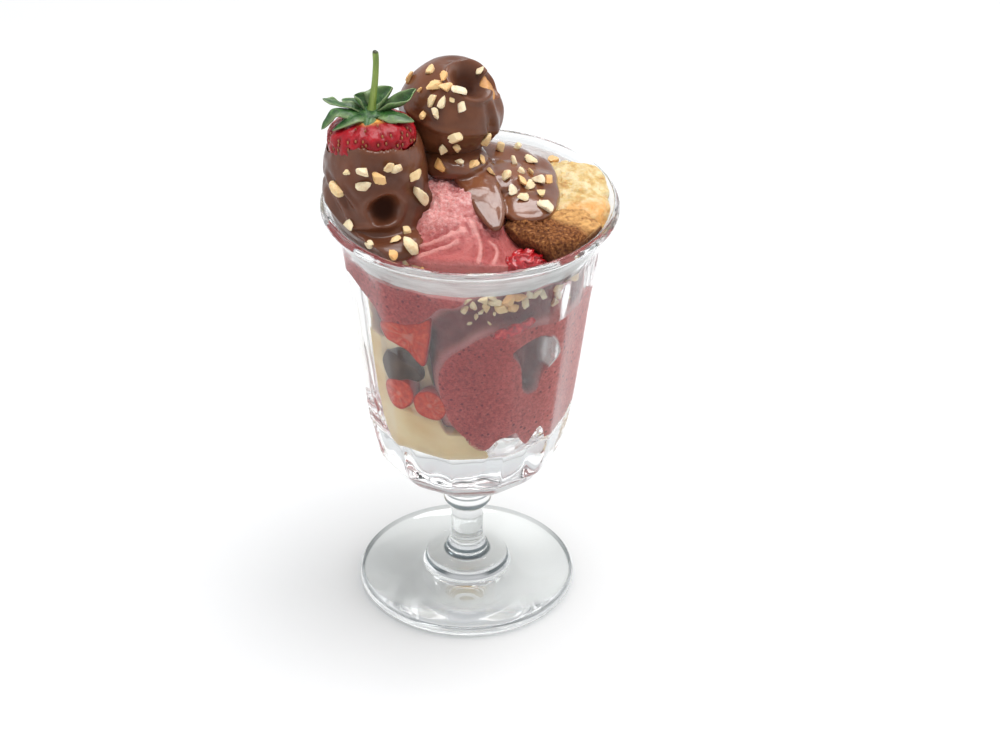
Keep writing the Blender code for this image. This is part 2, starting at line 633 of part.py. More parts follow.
def make_puff():
    """Round choux bun, and its chocolate shell, left open where the golden bun shows.

    The shell is made solid, and the bun's own room is cut out of it when it is settled.
    """
    tilt = np.pi * (np.arange(1, 10) / 10.0 - 0.5)
    turn = 2.0 * np.pi * np.arange(16) / 16
    tilt, turn = np.meshgrid(tilt, turn, indexing="ij")
    unit = np.stack([np.cos(tilt) * np.cos(turn), np.cos(tilt) * np.sin(turn), np.sin(tilt)], -1)
    poles = puff_surface(np.array([[0, 0, -1.0], [0, 0, 1.0]]), PUFF_RADIUS, 41, 0.25)
    puff = add_solid("cream_puff", poles[0], puff_surface(unit, PUFF_RADIUS, 41, 0.25), poles[1])
    finish(puff, (0.78, 0.48, 0.20), 0.6)

    points = puff_surface(unit, PUFF_RADIUS + PUFF_COAT, 42, 0.35)
    poles = puff_surface(np.array([[0, 0, -1.0], [0, 0, 1.0]]), PUFF_RADIUS + PUFF_COAT, 42, 0.35)
    shell = add_solid("puff_chocolate", poles[0], points, poles[1])
    bare = direction(*BARE)
    opening = ellipsoid("opening", np.array(PUFF_CENTRE) + bare * PUFF_RADIUS,
                        (BARE_RADIUS, BARE_RADIUS, 3.0), axes=frame_along(bare), rows=5,
                        columns=12, box=3.0)
    apply_boolean(shell, "DIFFERENCE", opening)
    drop(opening)
    add_nuts(shell, NUTS_ON_PUFF, 43)
    finish(shell, CHOCOLATE, CHOCOLATE_ROUGHNESS)
    return [puff, shell]


# ---------------------------------------------------------------- cheesecake and its base

BASE_TURN = 24.0             # degrees by which the biscuit runs back towards the right


def make_cheesecake():
    """Chunk of cheesecake lying against the right wall, biscuit base turned to the front."""
    turned = math.radians(BASE_TURN)
    axes = ((math.cos(turned), math.sin(turned), 0.0), (-math.sin(turned), math.cos(turned), 0.0),
            (0.0, 0.0, 1.0))
    base = ellipsoid("biscuit_base", (26.0, -23.0, 145.5), (15.5, 9.6, 8.6), axes=axes,
                     uneven=0.6, seed=51, rows=7, columns=14, box=4.0, shape=inside_glass)
    crumb = ellipsoid("crumb", (17.5, -18.0, 146.5), (6.2, 10.5, 8.6), uneven=0.8, seed=53,
                      rows=6, columns=12, box=3.0, shape=inside_glass)
    fuse(base, [crumb])
    cake = ellipsoid("cheesecake", (28.0, 2.0, 146.0), (16.5, 20.0, 8.6), uneven=0.8, seed=52,
                     rows=8, columns=16, box=3.6, shape=inside_glass)
    finish(base, (0.45, 0.24, 0.10), 0.8)
    finish(cake, (0.88, 0.78, 0.52), 0.5)
    return [base, cake]


# ---------------------------------------------------------------- chocolate sauce

# Middle of the ribbon of sauce that runs down the scoop, with its half width and half thickness
RIBBON = ((-4.0, 9.0, 160.0, 9.0, 2.2), (-0.2, 0.0, 161.4, 8.0, 2.0), (3.4, -8.0, 160.0, 7.4, 2.0),
          (5.6, -14.5, 158.4, 6.6, 2.0), (7.2, -20.5, 156.4, 5.0, 1.9), (8.2, -25.2, 154.6, 3.2, 1.7),
          (8.8, -27.8, 153.8, 1.6, 1.1))


def make_sauce():
    """Warm chocolate poured under the puff: a ribbon down the scoop and a lobe on the cake."""
    path = np.array(RIBBON)
    rings = []
    turn = 2.0 * np.pi * np.arange(12) / 12
    for index, (x, y, z, half, thick) in enumerate(path):
        ahead = path[min(index + 1, len(path) - 1), :3] - path[max(index - 1, 0), :3]
        across = np.cross(ahead, (0.0, 0.0, 1.0))
        across /= np.linalg.norm(across)
        up = np.cross(across, ahead / np.linalg.norm(ahead))
        rings.append(np.array([x, y, z]) + half * np.cos(turn)[:, None] * across
                     + thick * np.sin(turn)[:, None] * up)
    ribbon = add_solid("chocolate_sauce", path[0, :3] + (0, 2.0, 0), np.array(rings),
                       path[-1, :3] + (0.2, -0.5, -0.2))
    lobe = ellipsoid("lobe", (18.0, -2.0, 154.6), (10.6, 21.0, 3.6), uneven=0.6, seed=61,
                     rows=6, columns=16, box=2.4)
    lean = math.radians(-12.0)
    sloping = ((math.cos(lean), 0.0, math.sin(lean)), (0.0, 1.0, 0.0),
               (-math.sin(lean), 0.0, math.cos(lean)))
    bridge = ellipsoid("bridge", (7.0, 10.5, 157.6), (17.0, 9.5, 4.6), axes=sloping, uneven=0.4,
                       seed=62, rows=6, columns=14, box=2.4)
    fuse(ribbon, [lobe, bridge])
    add_nuts(ribbon, NUTS_ON_SAUCE, 63)
    return finish(ribbon, CHOCOLATE, CHOCOLATE_ROUGHNESS)


def make_rim_berry():
    """Soft red strawberry piece squeezed between the scoop, the biscuit and the front wall."""
    piece = ellipsoid("berry_rim_piece", (17.5, -34.5, 146.0), (5.6, 5.0, 3.4), uneven=0.5,
                      seed=71, rows=6, columns=12, shape=inside_glass)
    return finish(piece, (0.62, 0.05, 0.05), 0.3)


def clear_scene():
    """Removes the objects that a new file opens with."""
    for thing in list(bpy.data.objects):
        bpy.data.objects.remove(thing)


def main():
    clear_scene()
    make_glass()
    solids = make_wall_pieces()
    solids += [make_strawberry(), make_strawberry_coat(), make_calyx()]
    solids += make_puff() + make_cheesecake()
    solids += [make_rim_berry(), make_sauce(), make_ice_cream(), make_cream()]
    placed = []
    for solid in solids:
        settle(solid, placed)


main()
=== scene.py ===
"""Cheesecake cup: strawberry ice cream, cream and fruit in a footed, fluted glass, topped with a
dipped strawberry, a chocolate cream puff, sauce, chopped nuts and a chunk of cheesecake.

Shapes are worked out in millimetres. An azimuth is in degrees from the front, -Y, towards +X.
"""
import math

import bpy
import numpy as np
from mathutils import Matrix, Vector
from mathutils.bvhtree import BVHTree


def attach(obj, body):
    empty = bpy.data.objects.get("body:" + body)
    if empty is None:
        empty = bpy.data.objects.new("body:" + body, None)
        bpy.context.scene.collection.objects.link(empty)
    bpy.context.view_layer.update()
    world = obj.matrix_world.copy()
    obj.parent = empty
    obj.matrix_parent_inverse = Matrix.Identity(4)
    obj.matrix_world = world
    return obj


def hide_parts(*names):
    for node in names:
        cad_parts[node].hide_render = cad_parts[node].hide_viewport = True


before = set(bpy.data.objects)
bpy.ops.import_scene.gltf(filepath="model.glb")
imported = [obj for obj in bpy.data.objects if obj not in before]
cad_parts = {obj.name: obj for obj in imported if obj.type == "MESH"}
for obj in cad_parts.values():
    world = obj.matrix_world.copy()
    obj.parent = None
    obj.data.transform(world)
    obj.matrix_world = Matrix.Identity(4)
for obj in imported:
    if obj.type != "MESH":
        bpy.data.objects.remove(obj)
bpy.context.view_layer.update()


# ---------------------------------------------------------------- glass
# Footed dessert glass of clear pressed soda-lime glass, blown smooth inside and pressed into
# twelve hollow flutes outside. It is one turned profile; the flutes end in round tongues under
# the bowl and in shallow arches below the plain lip.

MM = 0.001
# Height and radius along the glass: up the outside to the lip, then down the inside
OUTSIDE = ((0.0, 34.6), (0.7, 36.3), (1.9, 36.8), (3.2, 36.2), (3.9, 34.6), (4.6, 29.0),
           (5.3, 21.0), (6.1, 16.2), (7.0, 14.7), (8.9, 14.1), (9.7, 13.6), (10.3, 12.2),
           (10.9, 8.6), (12.0, 6.9), (13.2, 7.2), (14.6, 6.2), (16.5, 5.5), (26.5, 5.5),
           (30.5, 6.5), (32.6, 8.0), (34.8, 8.25), (39.6, 8.5), (42.6, 9.8), (44.4, 13.8),
           (45.6, 17.6), (47.4, 21.5), (50.4, 25.4), (54.2, 28.6), (58.6, 31.1), (72.0, 34.3),
           (94.0, 37.2), (115.0, 39.6), (128.0, 41.5), (137.0, 42.6), (142.0, 44.0),
           (145.5, 46.0), (147.6, 48.0), (149.4, 47.4))
INSIDE = ((150.0, 46.4), (149.0, 45.2), (146.0, 44.0), (141.0, 42.0), (136.0, 40.5),
          (126.0, 38.9), (115.0, 37.5), (104.0, 36.4), (94.0, 35.0), (84.0, 33.6), (75.0, 31.0),
          (69.6, 27.2), (67.0, 21.0), (66.2, 10.0))
INSIDE_BOTTOM = 66.0
FLUTES = 12
FLUTE_PHASE = -10.0          # azimuth of one of the ribs between the flutes
FLUTE_DEPTH = 1.5
FLUTE_ENDS = (47.0, 133.5)   # heights of a flute's lower and upper end beside the ribs
CLEAR_TINT = (0.975, 0.984, 0.981)
# Painted shade: the glass's colour in the grey bands
PAINTED_BAND_SHADE = (0.045, 0.062, 0.068)
FOOT_SHADOW = (0.98, 0.985, 0.98)
BOWL_SHADOW = (0.79, 0.81, 0.805)
# Height, half height and strength of the grey bands of painted shade, which stand in for the
# dark lines where thick edges bend the light: foot, step, collar, stem and knop
PAINTED_SHADE_BANDS = ((0.5, 0.6, 0.95), (3.4, 0.35, 0.8), (8.8, 0.9, 1.0), (11.7, 0.7, 1.0),
              (13.8, 0.6, 1.0), (15.5, 0.45, 0.8), (23.5, 9.0, 0.3), (33.0, 1.5, 1.0),
              (36.5, 0.5, 0.9), (38.1, 0.4, 0.7))


def smooth(value, low, high):
    """0 below low, 1 above high, and the S-shaped step 3t^2 - 2t^3 between them."""
    t = np.clip((value - low) / (high - low), 0.0, 1.0)
    return t * t * (3.0 - 2.0 * t)


def through(points, steps):
    """Smooth line through points: each stretch is a cubic that runs at both ends along the line
    between the two neighbouring points, read at equal parts."""
    points = np.asarray(points, float)
    ends = np.vstack([2.0 * points[0] - points[1], points, 2.0 * points[-1] - points[-2]])
    before, here, there, after = (ends[i:len(ends) - 3 + i, None] for i in range(4))
    t = (np.arange(steps) / steps)[None, :, None]
    line = 0.5 * (2.0 * here + (there - before) * t
                  + (2.0 * before - 5.0 * here + 4.0 * there - after) * t ** 2
                  + (3.0 * here - before - 3.0 * there + after) * t ** 3)
    return np.vstack([line.reshape(-1, points.shape[1]), points[-1:]])


def grid_faces(rows, columns, poles=True):
    """Quads between rings that wrap round, and triangles from the end rings to the two poles.

    The poles are the two points that follow the grid's own. Without them the last ring joins
    the first, as on a tube that closes on itself.
    """
    here = np.arange(columns)
    beside = (here + 1) % columns
    low = columns * np.arange(rows - poles)[:, None]
    high = (low + columns) % (rows * columns)
    quads = np.stack([low + here, low + beside, high + beside, high + here], -1).reshape(-1, 4)
    last = (rows - 1) * columns
    count = rows * columns
    caps = np.vstack([np.stack([0 * here + count, beside, here], -1),
                      np.stack([last + here, last + beside, 0 * here + count + 1], -1)])
    return quads, caps[:2 * columns * poles]


def piece_from(name, mesh):
    """Object that carries a mesh and rides on the cup's one body."""
    thing = bpy.data.objects.new(name, mesh)
    bpy.context.scene.collection.objects.link(thing)
    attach(thing, "root")
    return thing


def skin(name, grid, start=None, end=None):
    """Closed mesh object over a grid of points in mm, one row a ring that wraps round.

    Where the tetrahedra from the origin to the faces sum to a negative volume, the mesh is
    inside out and every face is turned over.
    """
    closed = start is not None
    points = grid.reshape(-1, 3)
    if closed:
        points = np.vstack([points, [start], [end]])
    quads, caps = grid_faces(*grid.shape[:2], closed)
    flat = np.vstack([quads[:, (0, 1, 2)], quads[:, (0, 2, 3)], caps])
    a, b, c = (points[flat[:, i]] for i in range(3))
    if np.einsum("ij,ij->", a, np.cross(b, c)) < 0.0:
        quads = quads[:, ::-1]
        caps = caps[:, ::-1]
    mesh = bpy.data.meshes.new(name)
    mesh.from_pydata((points * MM).tolist(), [], quads.tolist() + caps.tolist())
    mesh.shade_smooth()
    return piece_from(name, mesh)


def paint(thing, name, values):
    """Stores one value for each point of a piece, for its material."""
    layer = thing.data.attributes.new(name, "FLOAT", "POINT")
    layer.data.foreach_set("value", np.asarray(values, np.float32).ravel())


def positions(thing):
    """A piece's points in mm."""
    flat = np.empty(len(thing.data.vertices) * 3)
    thing.data.vertices.foreach_get("co", flat)
    return flat.reshape(-1, 3) / MM


class Finish:
    """A surface finish: one Principled shader, and short ways to add the nodes that feed it.

    Sizes are in millimetres; patterns read the piece's object coordinates.
    """

    def __init__(self, name, **plain):
        self.material = bpy.data.materials.new(name)
        self.material.use_nodes = True
        self.nodes = self.material.node_tree.nodes
        self.shader = self.nodes["Principled BSDF"]
        for socket, value in plain.items():
            self.shader.inputs[socket.replace("_", " ")].default_value = value
        self.place = self.nodes.new("ShaderNodeTexCoord").outputs["Object"]

    def link(self, source, target):
        """Joins one node's output to another's input."""
        self.material.node_tree.links.new(source, target)

    def set(self, socket, source):
        """Feeds one of the shader's own inputs."""
        self.link(source, self.shader.inputs[socket])

    def noise(self, size, detail=2.0, rough=0.5, stretch=None, warp=0.0):
        """Cloudy value from 0 to 1 whose lumps are about size mm across."""
        node = self.nodes.new("ShaderNodeTexNoise")
        node.inputs["Scale"].default_value = 1.0 / (size * MM)
        node.inputs["Detail"].default_value = detail
        node.inputs["Roughness"].default_value = rough
        node.inputs["Distortion"].default_value = warp
        place = self.place
        if stretch is not None:
            turn = self.nodes.new("ShaderNodeMapping")
            turn.inputs["Scale"].default_value = stretch
            self.link(self.place, turn.inputs["Vector"])
            place = turn.outputs["Vector"]
        self.link(place, node.inputs["Vector"])
        return node.outputs["Fac"]

    def cells(self, size, random=1.0):
        """Distance to the nearest of scattered points that lie about size mm apart."""
        node = self.nodes.new("ShaderNodeTexVoronoi")
        node.inputs["Scale"].default_value = 1.0 / (size * MM)
        node.inputs["Randomness"].default_value = random
        self.link(self.place, node.inputs["Vector"])
        return node.outputs["Distance"]

    def stored(self, name):
        """A value painted on the piece's points."""
        node = self.nodes.new("ShaderNodeAttribute")
        node.attribute_name = name
        return node.outputs["Fac"]

    def step(self, value, low, high, to_low=0.0, to_high=1.0):
        """Maps a value from low..high to to_low..to_high and holds it there."""
        node = self.nodes.new("ShaderNodeMapRange")
        for socket, number in (("From Min", low), ("From Max", high), ("To Min", to_low),
                               ("To Max", to_high)):
            node.inputs[socket].default_value = number
        self.link(value, node.inputs["Value"])
        return node.outputs["Result"]

    def math(self, operation, first, second):
        """Sum, product or other operation of two values; either may be a number."""
        node = self.nodes.new("ShaderNodeMath")
        node.operation = operation
        for index, value in enumerate((first, second)):
            if isinstance(value, (int, float)):
                node.inputs[index].default_value = value
            else:
                self.link(value, node.inputs[index])
        return node.outputs["Value"]

    def ramp(self, value, *stops):
        """Colour that runs through (place, colour) stops as the value goes from 0 to 1."""
        node = self.nodes.new("ShaderNodeValToRGB")
        line = node.color_ramp.elements
        while len(line) < len(stops):
            line.new(0.5)
        for element, (place, colour) in zip(line, stops):
            element.position = place
            element.color = (*colour, 1.0)
        self.link(value, node.inputs["Fac"])
        return node.outputs["Color"]

    def blend(self, share, under, over):
        """Colour over laid on colour under by share; a colour may be three numbers."""
        node = self.nodes.new("ShaderNodeMix")
        node.data_type = "RGBA"
        self.link(share, node.inputs["Factor"])
        for socket, colour in ((6, under), (7, over)):
            if isinstance(colour, tuple):
                node.inputs[socket].default_value = (*colour, 1.0)
            else:
                self.link(colour, node.inputs[socket])
        return node.outputs[2]

    def relief(self, *layers):
        """Fine relief: each layer is a value and the depth in mm that its 0 to 1 stands for."""
        normal = None
        for value, depth in layers:
            node = self.nodes.new("ShaderNodeBump")
            node.inputs["Distance"].default_value = depth * MM
            self.link(value, node.inputs["Height"])
            if normal is not None:
                self.link(normal, node.inputs["Normal"])
            normal = node.outputs["Normal"]
        self.set("Normal", normal)

    def put_on(self, *things):
        """Makes this the only material of each piece."""
        for thing in things:
            thing.data.materials.clear()
            thing.data.materials.append(self.material)


def dress(node, finish, *things):
    """Puts a finish on pieces that take the place of one of the cup's plain solids."""
    for thing in things:
        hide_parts(node)
    finish.put_on(*things)


def polar(radius, azimuth, height):
    """Points at a radius, an azimuth and a height."""
    turn = np.radians(azimuth)
    radius, turn, height = np.broadcast_arrays(radius, turn, height)
    return np.stack([radius * np.sin(turn), -radius * np.cos(turn), height], -1)


def glass_surface():
    """Turned profile, radius less the flute's depth times |sin| of six times the azimuth.

    The ribs are rounded a little, and the depth sets in along an arch at both ends, lower and
    higher at a flute's middle than at its ribs.
    """
    azimuth = FLUTE_PHASE + np.arange(24 * FLUTES) * 15.0 / FLUTES
    rib = np.abs(np.sin(np.radians((azimuth - FLUTE_PHASE) * FLUTES / 2.0)))
    across = np.sqrt(rib ** 2 + 0.012) - 0.11
    outer = through(OUTSIDE, 4)
    height, radius = outer[:, :1], outer[:, 1:]
    start = FLUTE_ENDS[0] - 2.5 * rib
    end = FLUTE_ENDS[1] + 4.0 * rib
    depth = FLUTE_DEPTH * (0.45 * smooth(height, start, start + 4.0)
                           + 0.55 * smooth(height, 50.0, 74.0)) \
        * (1.0 - smooth(height, end, end + 3.0))
    inner = through(INSIDE, 4)
    return np.concatenate([polar(radius - depth * across, azimuth, height),
                           polar(inner[:, 1:], azimuth, inner[:, :1])])


def glass_finish():
    """Clear glass, with waves of the mould and grey bands of painted shade, which stand in for the
    dark lines where thick edges bend the light.

    A band fades out between 0.6 and 1 times its half height. Lamps shine through the glass by
    a plain tint, weaker in the foot, which lies flat on the table.
    """
    clear = Finish("clear_glass", Roughness=0.012, Transmission_Weight=1.0, IOR=1.5)
    height = clear.nodes.new("ShaderNodeSeparateXYZ")
    clear.link(clear.place, height.inputs["Vector"])
    height = height.outputs["Z"]
    # Painted shade: grey bands by height in the glass's colour, scaled by the painted edge value.
    band_shade_amount = clear.math("MULTIPLY", height, 0.0)
    for middle, half, strength in PAINTED_SHADE_BANDS:
        off = clear.math("ABSOLUTE", clear.math("SUBTRACT", height, middle * MM), 0.0)
        band = clear.step(off, 0.6 * half * MM, half * MM, strength, 0.0)
        band_shade_amount = clear.math("MAXIMUM", band_shade_amount, band)
    band_shade_amount = clear.math("MULTIPLY", band_shade_amount, clear.stored("edge"))
    clear.set("Base Color", clear.blend(band_shade_amount, CLEAR_TINT, PAINTED_BAND_SHADE))
    clear.relief((clear.noise(9.0, 1.0, 0.4), 0.035))
    lamp = clear.nodes.new("ShaderNodeLightPath")
    passing = clear.nodes.new("ShaderNodeBsdfTransparent")
    above = clear.step(height, 0.006, 0.020)
    clear.link(clear.blend(above, FOOT_SHADOW, BOWL_SHADOW), passing.inputs["Color"])
    both = clear.nodes.new("ShaderNodeMixShader")
    clear.link(lamp.outputs["Is Shadow Ray"], both.inputs["Fac"])
    clear.link(clear.shader.outputs["BSDF"], both.inputs[1])
    clear.link(passing.outputs["BSDF"], both.inputs[2])
    clear.link(both.outputs["Shader"], clear.nodes["Material Output"].inputs["Surface"])
    return clear


def lip_light_surface():
    """Film 0.1 mm thick of painted light on the lip's inside, from 138.6 to 147.2 mm up, as one
    closed ring.
    """
    azimuth = np.linspace(0.0, 360.0, 288, endpoint=False)
    height = np.linspace(138.6, 147.2, 12)[:, None]
    radius = np.interp(height, *through(INSIDE, 8)[::-1].T)
    return np.concatenate([polar(radius - 0.03, azimuth, height),
                           polar(radius - 0.13, azimuth, height)[::-1]])


def lip_light_finish():
    """Painted light: a white film in streaks that run round the lip, clear between them, which
    stands in for the pale look that the thick lip gets from the light it bends.
    """
    lip_light = Finish("painted_lip_light", Base_Color=(0.86, 0.87, 0.86, 1.0), Roughness=0.45)
    streaks = lip_light.noise(5.0, 4.0, 0.6, stretch=(0.35, 0.35, 2.2))
    lip_light.set("Alpha", lip_light.step(streaks, 0.25, 0.75, 0.25, 0.75))
    return lip_light


def band_shade_strength(points):
    """Strength of the grey bands of painted shade: 0.4 at the back, and on the step 0.2 at the
    very front.
    """
    turn = np.abs(np.arctan2(points[:, 0], -points[:, 1]))
    step = smooth(points[:, 2], 5.5, 6.5) * (1.0 - smooth(points[:, 2], 10.2, 10.8))
    back = smooth(turn, 1.7, 2.6)
    front = 1.0 - smooth(turn, 0.3, 0.6)
    return (1.0 - 0.6 * back) * (1.0 - 0.8 * step * front)


glass = skin("goblet", glass_surface(), (0.0, 0.0, 0.0), (0.0, 0.0, INSIDE_BOTTOM))
# The edge value sets how strong the painted shade of the grey bands is.
paint(glass, "edge", band_shade_strength(positions(glass)))
dress("glass", glass_finish(), glass)
# A white film inside the lip: painted light for the lip's pale look.
dress("glass", lip_light_finish(), skin("lip_light_film", lip_light_surface()))


# ---------------------------------------------------------------- cream
# Vanilla cream, poured in first. It wets the front left wall and climbs it in a thin column;
# seen through the glass its surface is smooth and satin, with soft drifts of warmer colour.

WET = 0.15                   # mm by which wet food reaches into the wall, so no air shows
MEAN_RADIUS = 36.0           # of the wall; outlines on the wall are rolled flat there
MM_PER_DEGREE = math.radians(MEAN_RADIUS)
INNER_LINE = through(INSIDE, 8)[::-1]
INNER_HEIGHTS = np.append(INSIDE_BOTTOM, INNER_LINE[:, 0])
INNER_RADII = np.append(0.0, INNER_LINE[:, 1])


def inner_radius(height):
    """Radius of the inside of the bowl, read from the glass's own smooth profile."""
    return np.interp(height, INNER_HEIGHTS, INNER_RADII)


def closed_line(outline, steps):
    """Smooth closed line through an outline's points, its first point again at the end."""
    points = np.asarray(outline, float)
    return through(np.vstack([points[-2:], points, points[:2]]), steps)[2 * steps:-steps]


def outline_distance(outline, azimuth, height):
    """Distance in mm to a closed outline of (azimuth, height) points, negative inside it.

    The outline is smoothed and rolled flat at the wall's mean radius. The distance is the least
    one to any of its short edges, and a point is inside where a level line from it crosses the
    edges an odd number of times.
    """
    closed = closed_line(outline, 5)
    closed[:, 0] *= MM_PER_DEGREE
    x, y = np.broadcast_arrays(np.asarray(azimuth) * MM_PER_DEGREE, height)
    least = np.full(x.shape, 1e9)
    odd = np.zeros(x.shape, bool)
    for (ax, ay), (bx, by) in zip(closed, np.roll(closed, -1, 0)):
        dx, dy = bx - ax, by - ay
        part = np.clip(((x - ax) * dx + (y - ay) * dy) / max(dx * dx + dy * dy, 1e-9), 0.0, 1.0)
        least = np.minimum(least, np.hypot(x - ax - part * dx, y - ay - part * dy))
        crosses = (ay > y) != (by > y)
        odd ^= crosses & (x < ax + (y - ay) * dx / (dy if dy else 1e-9))
    return np.where(odd, -least, least)


def cloud(points, size, seed):
    """Smooth random value from -1 to 1: seeded numbers on a lattice of the given spacing in
    mm, blended between each cell's eight corners by S-shaped weights."""
    table = np.random.default_rng(seed).uniform(-1.0, 1.0, (32, 32, 32))
    cell = np.floor(points / size).astype(int)
    part = smooth(points / size - cell, 0.0, 1.0)
    total = np.zeros(points.shape[:-1])
    for corner in np.ndindex(2, 2, 2):
        weight = np.prod(np.where(corner, part, 1.0 - part), -1)
        i, j, k = np.moveaxis((cell + corner) % 32, -1, 0)
        total += weight * table[i, j, k]
    return total


# Where the cream wets the wall, as azimuths and heights round its edge
CREAM_ON_WALL = ((-57, 124), (-57, 110), (-57, 96), (-56, 84), (-54, 74), (-50, 66), (-30, 58),
                 (0, 58), (14, 62), (13, 71), (4, 76), (-4, 82), (-13, 86), (-30, 86), (-44, 88),
                 (-47, 97), (-47.5, 108), (-48, 122))


def cream_surface():
    """Rings up the wall and over the uneven top.

    The radius is the wall's inside the wetted outline and stands back outside it; the top rises
    from right to left into the column.
    """
    azimuth = np.linspace(-180.0, 180.0, 260, endpoint=False)
    left = 1.0 - smooth(np.abs(azimuth + 62.0), 30.0, 52.0)
    front = 1.0 - smooth(np.abs(azimuth + 58.0), 62.0, 92.0)
    top = 67.6 + 13.0 * front + 33.0 * left
    part = np.linspace(0.004, 1.0, 150)[:, None]
    height = INSIDE_BOTTOM + (top - INSIDE_BOTTOM) * part
    away = outline_distance(CREAM_ON_WALL, azimuth, height)
    clear = 1.6 * smooth(away, 0.0, 1.0) + 4.0 * smooth(away, 1.0, 9.0)
    clear = clear * smooth(height, 66.4, 69.0)
    radius = np.maximum(inner_radius(height) + WET - clear, 0.5)
    lid = np.linspace(0.96, 0.04, 30)[:, None]
    dome = polar(radius[-1] * lid, azimuth, 69.0 + (top - 69.0) * smooth(lid, -0.2, 1.0))
    return np.concatenate([polar(radius, azimuth, height), dome])


def cream_finish():
    """Pale cream with soft drifts of warmer colour and a fine uneven grain."""
    pale = Finish("vanilla_cream", Roughness=0.42, Subsurface_Weight=0.3,
                  Subsurface_Scale=0.004, Subsurface_Radius=(1.0, 0.7, 0.4))
    pale.set("Base Color", pale.ramp(pale.noise(14.0, 3.0), (0.25, (0.78, 0.55, 0.27)),
                                     (0.55, (0.88, 0.70, 0.42)), (0.8, (0.93, 0.81, 0.56))))
    pale.relief((pale.noise(2.2, 4.0), 0.15))
    return pale


dress("cream_layer", cream_finish(),
      skin("vanilla_cream", cream_surface(), (0.0, 0.0, INSIDE_BOTTOM - 0.1), (0.0, 0.0, 68.6)))


# ---------------------------------------------------------------- cut strawberries at the wall
# Ripe strawberries cut up and pressed against the glass: a wedge under the ice cream, and two
# halves lower down. The cut flesh is salmon with white threads that run out from the heart.

# Outlines on the wall, as azimuth and height
WEDGE = ((-47, 119.5), (-40, 122.5), (-33, 123), (-24, 125), (-17.5, 127.5), (-18, 121),
         (-19.6, 115), (-22, 107.6), (-26, 108.5), (-31, 112), (-38, 113.5), (-44, 115))
LEFT_HALF = ((-48.5, 94), (-44, 98), (-38, 99.5), (-31.5, 98.5), (-29.5, 94), (-32.5, 90),
             (-39, 86.5), (-46, 88.5))
FRONT_HALF = ((-30.5, 92.5), (-26, 96.5), (-18, 98), (-12.5, 95), (-11, 90.5), (-15, 86.5),
              (-22, 86), (-28.5, 87.5))


def pressed(name, outline, depth, seed, rows=56, columns=144, edge=1.1):
    """Piece flattened on the wall: a disc of the outline's shape, a rounded edge, a domed back.

    Along each spoke from the outline's middle, the front lies WET into the wall, the edge turns
    away in an arc, and the back is a half ellipse of the given depth. Gives the object and, for
    each point of its rings, the share of the spoke that it lies out and the spoke's angle.
    """
    closed = closed_line(outline, 24)
    length = np.concatenate([[0.0], np.cumsum(np.hypot(*np.diff(closed, axis=0).T))])
    even = np.linspace(0.0, length[-1], columns, endpoint=False)
    spoke = np.stack([np.interp(even, length, closed[:, i]) for i in range(2)], -1)
    middle = spoke.mean(0)
    front = rows // 2
    turn = np.linspace(0.0, 0.5 * math.pi, rows - front)
    arc, dome = turn[:8], turn[1:-1]
    out = np.concatenate([np.linspace(0.04, 0.93, front), 0.93 + 0.07 * np.sin(arc), np.cos(dome)])
    back = np.concatenate([np.zeros(front), edge * (1.0 - np.cos(arc)),
                           edge + (depth - edge) * np.sin(dome)])
    place = middle + (spoke - middle) * out[:, None, None]
    azimuth, height = place[..., 0], place[..., 1]
    uneven = 1.0 + 0.12 * cloud(polar(MEAN_RADIUS, azimuth, height), 4.0, seed)
    grid = polar(inner_radius(height) + (WET - back[:, None] * uneven), azimuth, height)
    ends = [polar(inner_radius(middle[1]) + reach, middle[0], middle[1])
            for reach in (WET, -depth)]
    thing = skin(name, grid, *ends)
    angle = np.broadcast_to(np.linspace(0.0, 2.0 * math.pi, columns, endpoint=False),
                            grid.shape[:2])
    out = np.broadcast_to(out[:, None], grid.shape[:2])
    return thing, out, angle


def with_poles(values):
    """A grid's values, then those of its first and last ring averaged for the two poles."""
    return np.concatenate([values.ravel(), [values[0].mean()], [values[-1].mean()]])


def cut_berry(name, outline, depth, seed, heart):
    """Cut strawberry piece whose threads run out from a heart given as a share of the spoke.

    The threads are four seeded cosines of the spoke's angle, bent by a cloud, stronger on one
    side, that fade at the heart and at the skin.
    """
    thing, out, angle = pressed(name, outline, depth, seed)
    draw = np.random.default_rng(seed)
    face = np.stack([2.0 * out * np.cos(angle), 2.0 * out * np.sin(angle), 0.0 * out], -1)
    bend = 0.8 * cloud(face, 0.5, seed)
    threads = sum(draw.uniform(0.5, 1.0) * np.cos(count * angle + draw.uniform(0.0, 6.0) + bend
                                                  + 1.5 * out) for count in (7, 11, 17, 26))
    one_side = 0.35 + 0.65 * smooth(np.cos(angle - draw.uniform(0.0, 6.0)), -0.5, 0.6)
    threads = np.clip(0.35 + 0.5 * threads, 0.0, 1.0) * smooth(out, 0.1, 0.4) * one_side \
        * (1.0 - smooth(out, 0.75, 0.98))
    paint(thing, "threads", with_poles(threads))
    paint(thing, "heart", with_poles(1.0 - smooth(out, heart * 0.4, heart)))
    paint(thing, "rind", with_poles(smooth(out, 0.84, 1.0)))
    return thing


